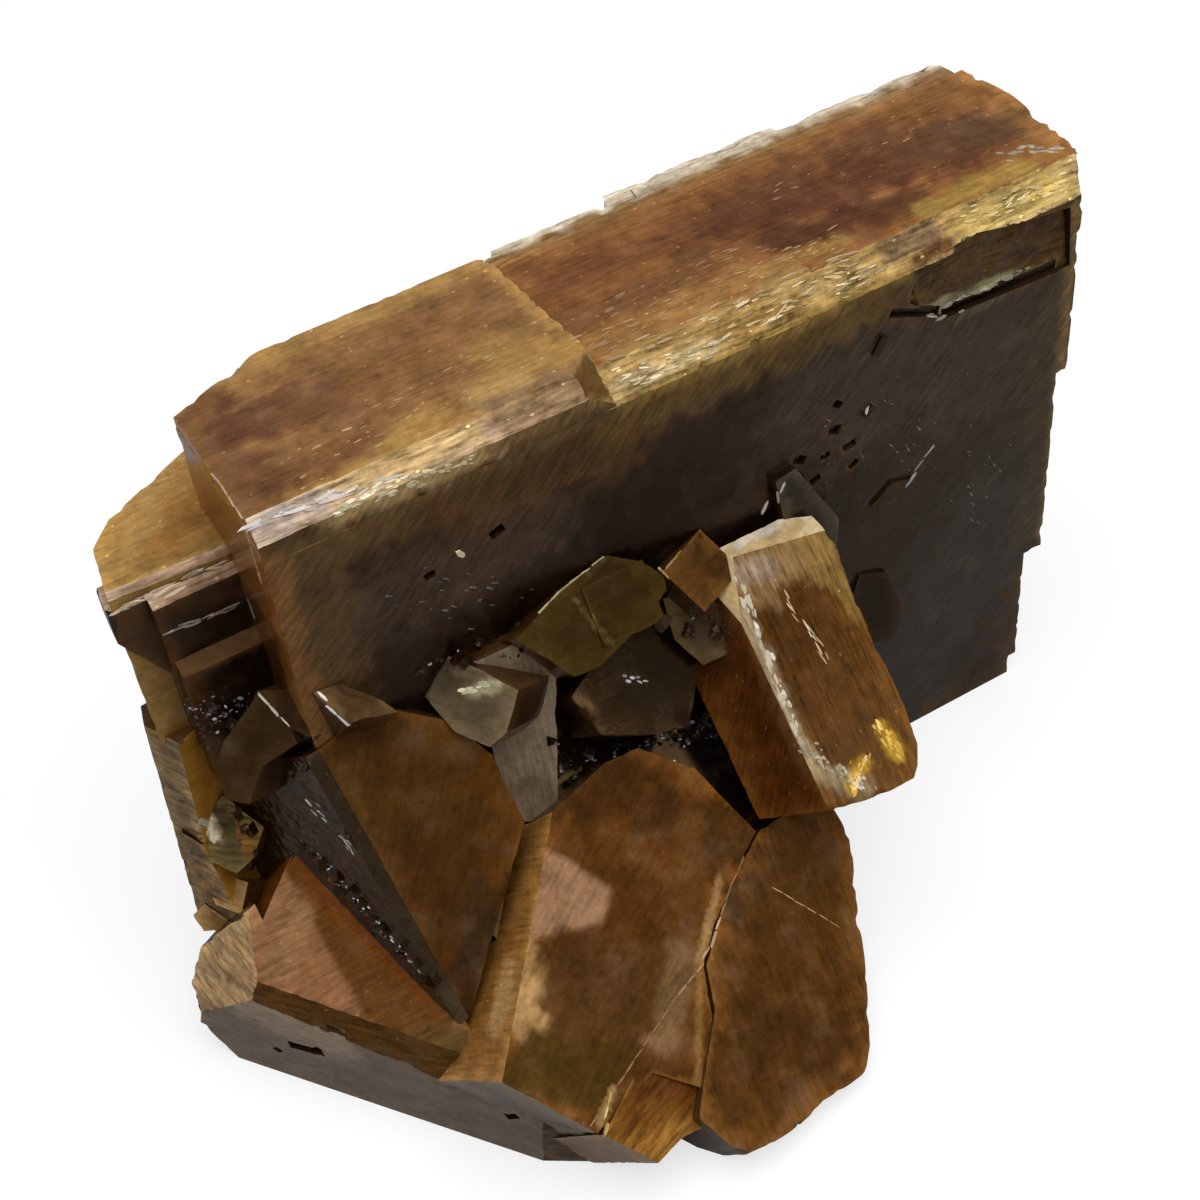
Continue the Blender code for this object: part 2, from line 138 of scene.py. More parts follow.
# Faces that are told apart: style, azimuth, elevation, a point on the face
FACES = (
    ("raised top", 0, 90, (10, 10, 74.6)),
    ("main top", 0, 90, (60, 10, 73.2)),
    ("back rim", 0, 90, (30, 24.5, 73.0)),
    ("back rim", 0, 90, (30, 24.5, 72.85)),
    ("chamfer", 270, 45, (0, 0, 70.2)),
    ("raised chamfer", 270, 42, (0, 0, 72.4)),
    ("step corner", 312, 42, (34.2, 2.2, 74.2)),
    ("step corner", 3.5, 0, (36.2, 8, 0)),
    ("main front", 270, 0, (0, 0, 0)),
    ("main front", 270, 3, (68.8, -0.4, 41.6)),
    ("main left", 180, 0, (0, 0, 0)),
    ("main end", 340, 0, (92.5, 0, 0)),
    ("main end", 355, 0, (94.3, 5, 0)),
    ("main end", 10, 0, (95.2, 16, 0)),
    ("broken", 271, 4, (81.3, 0.65, 66.0)),
    ("rear top", 0, 90, (0, 0, 63)),
    ("rear side", 266.7, 0, (-12.2, 12.7, 0)),
    ("rear bright", 266.7, 40, (-12.2, 12.7, 62.2)),
    ("rear bright", 0, 90, (-10, 14, 60.8)),
    ("rear bright", 0, 90, (-5, 12, 61.2)),
    ("rear bright", 270, 45, (0, 11, 60.4)),
    ("rear red", 270, 60, (0, 11, 53)),
    ("rear dark", 270, 0, (0, 9.4, 0)),
    ("rear dark", 270, 0, (0, 11, 0)),
    ("left slab", 205, 4, (-12.6, 14.6, 42)),
    ("left slab", 210, 8, (-13.4, 10.7, 20)),
    ("left amber", 290, 0, (-12.0, 10.5, 30)),
    ("left amber", 300, 20, (-11, 9, 22)),
    ("left dark block", 222, 38, (-5.0, 3.2, 45.8)),
    ("left dark block", 285, 62, (-0.4, 2.7, 48.2)),
    ("second block", 285, 55, (3.7, -2.0, 51.0)),
    ("left chip", 228, 35, (-9.0, 8.9, 28.6)),
    ("left small", 205, 45, (-11.5, 8.9, 20.0)),
    ("left small", 215, 25, (-14.3, 10.2, 16.0)),
    ("wedge pink", 225, 45, (-6, 4, 25)),
    ("wedge end", 188, 30, (-13.3, -0.5, 16)),
    ("wedge end", 188, 30, (-13.5, -0.5, 16.05)),
    ("wedge crest", 212, 25, (-5.6, 4.2, 25.4)),
    ("wedge crest", 145, 32, (-6, 4, 25)),
    ("wedge crest", 8, 15, (-3.4, 3.2, 28.6)),
    ("wedge band", 221.6, 25, (-5.2, -10.9, 15.0)),
    ("wall", 217, 0, (-3.5, -15.6, 0)),
    ("crest side", 249, 15, (-2.8, -1.8, 27.7)),
    ("overhang", 215.5, -13, (1.2, -26.1, 20.1)),
    ("foot side", 219, -12.5, (9.15, -34.05, 12.25)),
    ("wall end", 236, -2, (6.4, -27.8, 0)),
    ("middle", 264, 31, (5.5, -7.9, 33.2)),
    ("middle bevel", 230.9, 22, (1.15, -8.4, 30.8)),
    ("middle side", 201, 6, (2.6, -17.5, 17)),
    ("front", 284, 49, (19.7, -21.3, 20.3)),
    ("front bevel", 158, 39, (19, -10, 30)),
    ("front foot", 292, 45, (15.5, -33.7, 10.4)),
    ("outer", 288, 50, (35.5, -28.5, 10.8)),
    ("prism", 270, 46.4, (51.0, -12.2, 38.2)),
    ("prism side", 198, 18, (44.4, -12.7, 37.8)),
    ("prism top", 290, 76, (50, -3.6, 46.5)),
    ("prism top", 215, 45, (45.6, -5.5, 44.7)),
    ("olive", 280, 40, (29.3, -3.8, 48.8)),
    ("olive", 280, 40, (33.3, -3.6, 48.5)),
    ("cube", 285, 45, (42.9, -3.1, 47.2)),
    ("under cube", 250, 30, (40.8, -4.8, 41.0)),
    ("blade", 262, 12, (20.5, -4.5, 36.8)),
    ("clear", 215, 35, (14.9, -3.3, 45.6)),
    ("shaded", 275, 45, (33.2, -5.3, 37.0)),
    ("shaded", 275, 58, (36, -9, 22)),
    ("shaded", 205, 15, (2, 0, 16)),
    ("thin plate", 270, 5, (57.0, -1.5, 45.1)),
    ("hexagon", 270, 10, (66.1, -1.2, 25.9)),
)

# Faces with etched pits, and how deep and large the walls of a pit can be
PITTED = ((270, 0, (0, 0, 0)), (217, 0, (-3.5, -15.6, 0)), (215.5, -13, (1.2, -26.1, 20.1)))
PIT_RIM = 0.2
PIT_DEPTH = 2.6
PIT_AREA = 25.0


def on_level(height, rows):
    """Marks on a level face, each row x, y to x, y, then width, colour and strength."""
    return tuple(((x, y, height), (x_to, y_to, height), *rest)
                 for x, y, x_to, y_to, *rest in rows)


def on_front(rows):
    """Marks on the main front, each row x, z to x, z, then width, colour and strength."""
    return tuple(((x, 0, z), (x_to, 0, z_to), *rest) for x, z, x_to, z_to, *rest in rows)


# What each face looks like. deep and thin are its colours where the crystal is thick and, as
# painted light, where light gets through; rough its polish; clear how much is seen through it;
# lines the growth lines' angle on the face and their strength; cloud the veils in it;
# flecks_and_glints the pale scales and painted glints on it; relief the kind and height of what
# stands on it; chips the wear of its edges; step the fine cuts; marks are patches from a point to
# a point, with a width, a colour and a strength, some of them painted highlights, reflections and
# shade as noted at each; zones are sharp-edged patches with their corners, a colour and a
# strength.
PLAIN = dict(deep="#2f1c0c", thin="#5a3c1e", rough=0.16, clear=0.35, lines=(0, 0.3), cloud=0.4,
             flecks_and_glints=0.04, relief=("growth", 0.05), chips=0.3, step=FINE, marks=(), zones=())
STYLES = {
    "plain": {},
    "foot": dict(step=HIDDEN, relief=("none", 0.0), chips=0.25, rough=0.6, clear=0.0, flecks_and_glints=0.0),
    "back": dict(deep="#3a2614", thin="#8a5c28", rough=0.25, lines=(90, 0.5), flecks_and_glints=0.4,
                 relief=("growth", 0.12), step=1.4, chips=0.5, cloud=0.6),
    "pit": dict(deep="#181008", thin="#2c1e12", rough=0.1, clear=0.1, relief=("none", 0.0),
                chips=0.2, step=0.6, flecks_and_glints=0.0),
    "speck": dict(deep="#140c06", thin="#2e1c0e", rough=0.06, clear=0.5, relief=("none", 0.0),
                  chips=0.0, flecks_and_glints=0.0),
    "raised top": dict(
        deep="#845d36", thin="#ae8448", rough=0.26, clear=0.15, lines=(0, 0.4), cloud=0.7,
        flecks_and_glints=0.6, step=0.9,
        marks=on_level(74.6, ((2, 18, 1, 3, 6, "#5c3620", 0.75),
               (5, 14, 13, 12.5, 4.5, "#5e3a26", 0.75),
               (3, 5, 14, 4.5, 2.5, "#6b4529", 0.7),
               (16, 3.2, 20, 4.5, 2.6, "#a98244", 0.85),
               (25, 4.5, 29, 4, 2.4, "#b08d52", 0.85),
               (29, 9, 35, 5, 4, "#a27c42", 0.8),
               (25, 2.2, 33, 2, 1.8, "#86674a", 0.9),
               (12, 21.5, 34, 22, 2, "#a07a42", 0.8),
               (17, 12, 26, 14, 4, "#80562f", 0.6)))),
    "main top": dict(
        deep="#7e5028", thin="#a9763a", rough=0.26, clear=0.15, lines=(0, 0.5), cloud=0.6,
        flecks_and_glints=0.6, relief=("growth", 0.06), step=0.9,
        marks=on_level(73.2, ((40, 17, 60, 15.5, 3.5, "#6c4020", 0.8),
               (60, 14, 86, 12.5, 6, "#583018", 0.9),
               (62, 8, 76, 7, 3, "#4a2614", 0.85),
               (60, 18, 80, 19, 2.5, "#5f3a1c", 0.6),
               (84, 20, 92, 19, 3, "#7d5222", 0.85),
               (82, 14, 92, 12, 4, "#5b3d22", 0.7),
               (38, 10, 52, 9.5, 3.5, "#6f4828", 0.7),
               (38, 5.5, 56, 6, 2.8, "#9c703c", 0.85),
               (56, 6, 66, 5, 1.6, "#96703a", 0.8),
               (38, 3, 60, 3.2, 1.2, "#b08f56", 0.7),
               (76, 4.5, 88, 4.5, 2, "#a8873f", 0.8),
               (63.5, 13, 64.5, 7, 0.9, "#40200f", 0.6),
               (42, 22.5, 92, 22.5, 1.4, "#8d6030", 0.8)))),
    # Painted highlight: the back rim's pale colours stand partly for light on and through that
    # thin layer.
    "back rim": dict(deep="#b9a384", thin="#e4d4b8", rough=0.22, clear=0.3, lines=(0, 0.9),
                     cloud=0.6, relief=("growth", 0.08), chips=0.7, step=0.8,
                     marks=(((11, 23.1, 73), (93, 23.1, 73), 1.8, "#8f6634", 0.95),)),
    "chamfer": dict(
        deep="#a98a52", thin="#c6ac72", rough=0.3, clear=0.1, lines=(0, 0.6), cloud=0.8,
        flecks_and_glints=1.0, relief=("broken", 0.28), chips=0.9, step=0.45,
        marks=(((38, 1, 71), (48, 1, 71), 1.8, "#c2ab7c", 0.7),
               ((49, 2, 72), (58, 1.5, 71.6), 1.6, "#93703a", 0.7),
               ((60, 1, 71), (68, 1.4, 71.4), 1.6, "#b3945a", 0.7),
               ((70, 2, 72), (74.5, 2, 72), 2.2, "#7d644a", 0.9),
               ((72, 0.6, 70.6), (76, 0.8, 70.8), 1.4, "#5c3a1a", 0.9),
               ((79, 1.5, 71.5), (90, 1.5, 71.5), 2, "#c0a35a", 0.85),
               ((38, 0.2, 70.3), (70, 0.2, 70.3), 0.8, "#8a6c34", 0.8),
               # Painted shade: the dark strip along the chamfer's foot hides the highlight of a
               # thin ledge there.
               ((8, 0, 70.2), (35, 0, 70.2), 1.2, "#4a361c", 1.0),
               ((0, 0, 70.2), (8, 0, 70.2), 1.2, "#5d4629", 1.0))),
    "raised chamfer": dict(
        deep="#a58b70", thin="#c9b398", rough=0.18, clear=0.12, lines=(0, 0.8), cloud=0.6,
        flecks_and_glints=1.0, relief=("broken", 0.12), chips=0.5, step=0.45,
        marks=(((12, 2.4, 74.5), (36, 2.4, 74.5), 1.7, "#96744a", 0.95),
               # Painted highlight: the pale patch at the left end stands for the gloss seen there,
               # above the front lamp's own.
               ((0.5, 1.2, 73.8), (9, 1, 73.6), 1.6, "#ad9a8c", 0.95),
               ((9, 1.2, 73.8), (22, 1.2, 73.8), 2.2, "#c9a873", 0.85),
               ((26, 1, 73.5), (35, 1, 73.5), 2.2, "#8a6f50", 0.9))),
    "step corner": dict(deep="#6d4c22", thin="#b08f52", rough=0.2, clear=0.3, chips=0.8, step=0.5),
    "main front": dict(
        deep="#26180c", thin="#543914", rough=0.13, clear=0.25, lines=(45, 0.85), cloud=0.5,
        relief=("growth", 0.03), chips=0.5, step=0.7,
        marks=on_front(((30, 60, 42, 53, 9, "#150c05", 0.8),
               (40, 52, 56, 46, 12, "#140b05", 0.85),
               (16, 46, 34, 44, 9, "#140b05", 0.8),
               # Painted reflection: the grey patches on the right part stand for the paper seen in
               # the face.
               (62, 60, 86, 52, 13, "#44362a", 0.9),
               (74, 42, 88, 34, 10, "#322820", 0.8),
               (84, 28, 70, 10, 14, "#35302a", 0.8),
               (6, 59, 26, 61, 8, "#483629", 0.9),
               (1, 70, 8, 69.6, 1.6, "#8a6a46", 0.8),
               (2, 69, 20, 68.5, 3.6, "#604628", 0.9),
               (20, 68, 36, 66, 6.5, "#553819", 0.85),
               (37, 68.6, 66, 68.8, 4.2, "#6b5024", 0.9),
               (37, 70.2, 70, 70.2, 1.6, "#93743a", 0.9),
               (0, 70.4, 36, 70.2, 1.9, "#62492a", 1.0),
               (7, 72.3, 24, 71.9, 2.0, "#b99a66", 0.95),
               (24, 72.3, 36, 72.0, 1.5, "#86693f", 0.9),
               (66, 70, 72, 66, 3, "#5c4320", 0.8),
               (3.6, 69, 3.2, 50, 5.0, "#5d4629", 0.85),
               (0.6, 70, 0.4, 46, 2.4, "#80582f", 0.95),
               (91.7, 69, 91.5, 22, 1.2, "#9a7844", 0.85),
               (90, 66, 89.5, 24, 3.2, "#4a3c24", 0.6),
               (77, 61.5, 90, 63, 0.8, "#5f5a40", 0.7)))),
    "main left": dict(deep="#8a5420", thin="#b4742c", clear=0.3, lines=(90, 0.4),
                      relief=("growth", 0.04),
                      marks=(((0, 8, 50), (0, 8, 56), 7, "#3d2212", 0.8),)),
    "main end": dict(deep="#5e4122", thin="#a37c42", rough=0.25, clear=0.25, lines=(90, 0.6),
                     flecks_and_glints=0.6, relief=("broken", 0.3), chips=1.0, step=0.8),
    "broken": dict(deep="#4a3419", thin="#7d5f2e", rough=0.3, clear=0.15, flecks_and_glints=0.6,
                   relief=("broken", 0.25), chips=0.8, step=0.5,
                   marks=(((73, 0.6, 64), (84, 0.6, 63.4), 1.2, "#8a8462", 0.8),
                          ((78, 0.6, 67), (88, 0.6, 68), 3, "#4d351c", 0.7))),
    "rear top": dict(
        deep="#93682f", thin="#bd9250", rough=0.26, clear=0.2, lines=(0, 0.4), cloud=0.6,
        flecks_and_glints=0.5, chips=0.6, step=0.8,
        marks=on_level(63, ((-9, 16, -2, 25, 2.5, "#b08a50", 0.6),
               (-10, 14, -1, 13.4, 1.2, "#7a6030", 0.7)))),
    "rear side": dict(deep="#6a4a22", thin="#a98346", rough=0.2, clear=0.3, chips=0.6),
    # Painted highlight: the rear bevel's strips are pale as if catching the light.
    "rear bright": dict(deep="#8d7058", thin="#bda286", rough=0.15, clear=0.15, lines=(0, 1.0),
                        flecks_and_glints=0.6, relief=("growth", 0.1), chips=0.5, step=0.5),
    "rear red": dict(deep="#241008", thin="#38180a", rough=0.3, clear=0.2, lines=(0, 0.8),
                     relief=("growth", 0.08), step=0.6),
    "rear dark": dict(deep="#22140a", thin="#58381a", clear=0.3,
                      relief=("growth", 0.06), step=0.7),
    "left slab": dict(deep="#6e5430", thin="#ad8c58", rough=0.3, clear=0.2, cloud=0.8, flecks_and_glints=0.8,
                      relief=("broken", 0.22), chips=1.0, step=0.6),
    "left amber": dict(deep="#8a5a1c", thin="#c28a34", rough=0.14,
                       relief=("growth", 0.06), step=0.7),
    "left dark block": dict(deep="#2a1a0c", thin="#402c16", rough=0.1,
                            relief=("growth", 0.04), step=0.7,
                            marks=(((-7.5, 6.8, 46), (-7, 5, 45), 1.4, "#4d4638", 0.7),)),
    "second block": dict(deep="#33220f", thin="#523a20", rough=0.1, step=0.6),
    "left chip": dict(
        deep="#3d3420", thin="#6d5c38", rough=0.25, clear=0.15, relief=("broken", 0.16), step=0.45,
        flecks_and_glints=0.8,
        marks=(((-11, 11, 30), (-10.2, 10, 27), 1.3, "#cdbd9c", 0.95),
               ((-8.2, 7.7, 29), (-7.4, 7.2, 27), 1.6, "#8a5a1c", 0.8))),
    "left small": dict(deep="#8a6230", thin="#b8935c", rough=0.2, clear=0.3, step=0.5),
    "wedge pink": dict(
        deep="#8f6240", thin="#a87a54", rough=0.2, clear=0.15, lines=(35, 0.6), cloud=0.5,
        flecks_and_glints=0.3, relief=("growth", 0.04), step=0.45,
        zones=((((-5.6, 4.6, 24.9), (-2.0, 5.0, 27.5), (3.5, -17, 17), (-3.5, -17, 12.5),
                 (-5.4, -10.4, 15.2)), "#603a16", 0.95),),
        marks=(((-6, 1, 22.5), (-10, -1, 17.5), 3.0, "#96704a", 0.7),
               ((-2, -14, 13.5), (1.5, -18, 14.4), 2.4, "#54401e", 0.8),
               ((-4, 3.4, 26), (-2.6, -2, 22.6), 2.6, "#74400f", 0.85),
               ((-2.6, -2, 22.6), (0.9, -13.2, 17.8), 1.6, "#6f3a0e", 0.8))),
    "wedge end": dict(
        deep="#a28157", thin="#c2a06e", rough=0.28, clear=0.1, cloud=0.7, relief=("broken", 0.14),
        flecks_and_glints=0.8, chips=0.8, step=0.5,
        marks=(((-15.2, 3.2, 14), (-15.2, 3.2, 13), 1.1, "#6e5232", 0.8),
               ((-11, 4, 21), (-14, 1, 16), 1.4, "#b38d5c", 0.5))),
    "wedge crest": dict(deep="#7c430f", thin="#a0601a", rough=0.18, clear=0.3, step=0.5),
    "crest side": dict(deep="#5a3412", thin="#7d4a18", rough=0.12, step=0.5),
    "wedge band": dict(deep="#4a2e0a", thin="#624216", rough=0.22, clear=0.15, lines=(0, 0.4),
                       flecks_and_glints=0.6, relief=("broken", 0.1), chips=0.8, step=0.6,
                       marks=(((-12, -3, 12), (-8, -8, 13), 1.4, "#4f3d20", 0.6),)),
    # Painted reflection: the wall's grey stands partly for the paper seen in it.
    "wall": dict(deep="#685b4e", thin="#75675a", rough=0.3, clear=0.05, lines=(0, 0.35),
                 relief=("growth", 0.04), chips=0.6, step=0.8,
                 marks=(((-14.5, -1, 12), (-9, -8.3, 11), 4.5, "#94806a", 0.9),)),
    "wall end": dict(deep="#4a382a", thin="#5f4a34", rough=0.3, clear=0.1, lines=(0, 0.4),
                     relief=("broken", 0.15), chips=0.7, step=0.5),
    # Painted reflection: the overhang's grey stands partly for the paper below it.
    "overhang": dict(deep="#77685a", thin="#8a7661", rough=0.25, clear=0.08, lines=(0, 0.4),
                     flecks_and_glints=0.5, relief=("growth", 0.06), chips=0.8, step=0.5,
                     marks=(((3, -28, 16), (8, -33, 12), 1.0, "#8d7a58", 0.7),
                            ((1, -24, 14), (6, -29, 10), 2.4, "#675a54", 0.7))),
    # Painted reflection: the foot side's pale tan stands partly for the paper below it.
    "foot side": dict(deep="#866a52", thin="#a3845f", rough=0.25, clear=0.1, flecks_and_glints=0.4,
                      relief=("growth", 0.06), chips=0.6, step=0.5),
    "middle": dict(
        deep="#482b0d", thin="#6a4013", rough=0.15, clear=0.25, cloud=0.8, lines=(60, 0.35),
        step=0.9,
        marks=(((8.6, -14.8, 23), (5.4, -16.6, 18.6), 1.4, "#a07a4a", 0.9),
               ((12, -14, 26), (5, -17, 19), 4, "#301c0c", 0.85),
               ((9, -12, 28), (7, -14, 23), 2.5, "#3c2a1c", 0.5),
               ((4, -5, 38), (9, -6, 36), 4, "#523613", 0.7),
               ((3, -3, 42), (12, -3, 42), 3, "#543614", 0.6),
               ((8.5, -18, 18), (10, -15, 22), 1.5, "#5a4a42", 0.6),
               ((2, -2, 43), (1, -8, 33), 1.0, "#6c4c22", 0.5))),
    "middle bevel": dict(deep="#33281a", thin="#57472e", rough=0.1, lines=(60, 0.5),
                         flecks_and_glints=0.5, step=0.7),
    "middle side": dict(deep="#2c1806", thin="#40260c", rough=0.12, clear=0.3,
                        relief=("broken", 0.16), chips=0.4, step=0.5, flecks_and_glints=0.2),
    "front": dict(
        deep="#54300f", thin="#7a4a1a", rough=0.15, clear=0.2, cloud=0.9, lines=(20, 0.4),
        chips=0.35, step=0.5,
        zones=((((12.6, -19.1, 23.7), (24.6, -22.0, 18.7), (21.3, -26.8, 15.3),
                 (16.5, -28.8, 14.7), (7.2, -24.5, 20.2)), "#583818", 0.9),
               (((7.2, -24.5, 20.2), (16.5, -28.8, 14.7), (10.5, -32.5, 12.8), (0, -27, 19)),
                "#4a340e", 0.9),
               (((14, -10.5, 30), (17.5, -11.8, 28.8), (21.8, -16.6, 23.8), (19.0, -18.6, 22.7),
                 (11.0, -17.9, 25.0)), "#a27a5a", 0.85)),
        marks=(((9.4, -17.5, 25.2), (7.6, -22.5, 21), 3.4, "#b9905a", 1.0),
               ((15, -21.5, 22), (18, -24, 19.5), 3.5, "#4c2d14", 0.6),
               ((24, -13, 26), (29, -16, 22), 3, "#6a4016", 0.6),
               ((30, -12, 26), (38, -17, 20), 4, "#40280f", 0.7),
               ((18, -30, 14), (22, -31, 12), 2.4, "#6d431f", 0.7),
               ((18, -28.5, 15), (19.5, -30, 13.5), 1.1, "#8d6a4c", 0.7),
               ((20, -8.5, 31), (29, -9, 29), 3.5, "#40240a", 0.8),
               ((25.5, -24, 17.6), (20.5, -29, 14.4), 2.6, "#80603e", 0.85),
               ((33, -14, 24), (29, -19, 20.5), 2.6, "#66421c", 0.7),
               ((9.5, -33, 12.4), (12.4, -31, 13.6), 0.6, "#b8965a", 0.9),
               ((33.3, -19, 19.4), (27.2, -24.4, 16.1), 0.7, "#b08a58", 0.8),
               ((27.2, -24.4, 16.1), (20.5, -34, 9.5), 0.6, "#96703c", 0.7))),
    "front bevel": dict(deep="#8a5c28", thin="#b78443", rough=0.2, clear=0.2, lines=(60, 0.6),
                        step=0.6, flecks_and_glints=0.5,
                        marks=(((16, -9, 28), (12, -12, 25), 2.2, "#a5763c", 0.7),
                               ((8.4, -18, 22), (5.5, -21, 19), 2.6, "#bf945c", 0.9))),
    "front foot": dict(deep="#6b3f12", thin="#8f5e22", rough=0.2, clear=0.25, step=0.7,
                       relief=("broken", 0.06),
                       marks=(((12, -36, 9), (17, -36, 8), 2.4, "#9a6a2c", 0.8),
                              ((16, -31.5, 12), (19, -33, 10), 2.2, "#5c3410", 0.7))),
    "outer": dict(
        deep="#50300e", thin="#7d5022", rough=0.17, clear=0.2, cloud=0.9, chips=0.8,
        lines=(70, 0.45), step=0.7,
        marks=(((38.8, -22, 17.7), (44.2, -27.3, 12.2), 0.35, "#b8945e", 0.8),
               ((34, -22, 18), (40, -20, 19), 3, "#47301a", 0.7),
               ((44, -22, 17), (47, -26, 13), 2.2, "#6f4a20", 0.7),
               ((30, -33, 10), (36, -36, 6), 5, "#45290d", 0.7),
               ((24, -36, 10), (23, -40, 7), 2, "#64401c", 0.6))),
    "prism": dict(
        deep="#4a2a0a", thin="#6f4616", rough=0.12, clear=0.25, cloud=0.5, lines=(90, 1.0),
        relief=("growth", 0.07), chips=0.5, step=0.5, flecks_and_glints=0.7,
        marks=(((46.5, -5, 45), (55, -5, 45), 4.2, "#94754a", 0.9),
               ((54.5, -3, 46), (57, -10, 40), 2.6, "#8d6e38", 0.85),
               ((46, -4.2, 45.4), (49, -4.6, 45.2), 2.0, "#a58c74", 0.9),
               ((44.8, -7, 43), (44.6, -20, 31), 1.5, "#a08c6c", 0.95),
               ((45.5, -20.5, 30.4), (48.5, -22.9, 28.2), 1.8, "#998666", 0.85),
               ((49, -14, 36.5), (50, -18, 33), 2.2, "#5c3410", 0.6),
               # Painted glints: gold strokes for light reflected inside the prism's foot.
               ((50.2, -21.2, 29.6), (48, -22.4, 28.5), 1.1, "#c99a30", 0.9),
               ((53.4, -19.6, 31), (54, -22, 29), 1.3, "#d3a136", 0.9))),
    "prism side": dict(deep="#502a0c", thin="#7a4817", rough=0.12, clear=0.3, lines=(90, 0.6),
                       step=0.6, flecks_and_glints=0.5,
                       marks=(((44.4, -12, 38), (43.6, -20, 30), 1.2, "#6b4a24", 0.7),)),
    # Painted highlight: the prism's top faces are pale as if reflecting the light.
    "prism top": dict(deep="#cdb07c", thin="#ecd8ac", rough=0.1, clear=0.3, step=0.45,
                      marks=(((48, -2, 47.2), (54, -1.6, 47), 0.8, "#e2d6c6", 0.9),)),
    "olive": dict(deep="#3a290c", thin="#4f3c14", rough=0.1, clear=0.45, cloud=0.5, step=0.5,
                  marks=(((28.6, -2.3, 50.7), (30.4, -5.8, 46.2), 0.3, "#7d6c3c", 0.8),
                         ((25.4, -2, 50.8), (33.6, 0, 52), 0.35, "#a89a74", 0.8))),
    "cube": dict(deep="#4a2d10", thin="#7a4f20", rough=0.1, clear=0.4, step=0.6),
    "under cube": dict(deep="#40301c", thin="#6d583a", rough=0.08, clear=0.5, step=0.6,
                       marks=(((38.5, -5, 43), (41, -6, 40), 1.2, "#5c5348", 0.7),)),
    "blade": dict(deep="#806c54", thin="#9c8a70", rough=0.12, lines=(90, 0.5), step=0.6),
    "clear": dict(deep="#5a4d3a", thin="#8d7a5a", rough=0.08, clear=0.45, step=0.5,
                  # Painted highlight: the pale stroke on the clear crystal's facet.
                  marks=(((15.5, -3.5, 46.5), (17.8, -4.9, 47.6), 0.9, "#c9bf98", 0.85),)),
    "shaded": dict(deep="#0e0804", thin="#1c0f06", rough=0.1, clear=0.1),
    "thin plate": dict(deep="#3b3630", thin="#6a6156", rough=0.08, clear=0.6, step=0.6),
    "hexagon": dict(deep="#140c06", thin="#332010", rough=0.08, clear=0.4, step=0.6),
}

# Faces that round into each other
SOFT_EDGES = ({"chamfer", "main top"}, {"chamfer", "main front"}, {"raised chamfer", "raised top"},
              {"wedge pink", "wedge end"}, {"wedge band", "wedge pink"})

# Small crystals in the seams: from a point to a point, how many, how far they stray, their
# sizes, and their colour
DRUSE = (
    ((23.6, -4.8, 34.5), (24.0, -3.0, 27.5), 34, 0.8, (0.25, 0.8), "#2a1e14"),
    ((25.5, -2.0, 27.0), (42.0, -4.2, 25.0), 90, 1.6, (0.25, 0.9), "#1c130c"),
    ((38.0, -4.5, 26.0), (43.0, -4.0, 24.5), 30, 1.4, (0.3, 0.9), "#2b2622"),
    ((-8.5, 9.6, 46.0), (-3.4, 9.2, 44.5), 70, 1.9, (0.25, 0.8), "#1e140c"),
    ((-8.8, 10.4, 42.0), (-6.0, 8.0, 46.6), 26, 1.0, (0.25, 0.7), "#2a2018"),
    ((-3.4, 2.6, 30.5), (1.0, -12.4, 20.8), 60, 0.5, (0.2, 0.55), "#3a2818"),
    ((12.0, -1.0, 49.0), (24.0, -1.0, 47.5), 26, 0.9, (0.2, 0.6), "#2a1e12"),
    ((36.0, -6.0, 44.0), (44.0, -6.0, 40.0), 24, 0.9, (0.25, 0.7), "#3a2814"),
    ((-8.4, 8.2, 32.0), (-9.0, 7.4, 25.0), 20, 0.9, (0.25, 0.7), "#4a3416"),
    ((44.0, -8.0, 25.0), (46.0, -9.0, 21.0), 16, 1.2, (0.25, 0.7), "#1c130c"),
    ((58.0, 0.0, 54.5), (63.5, 0.0, 48.5), 22, 1.6, (0.2, 0.5), "#2c241c"),
)
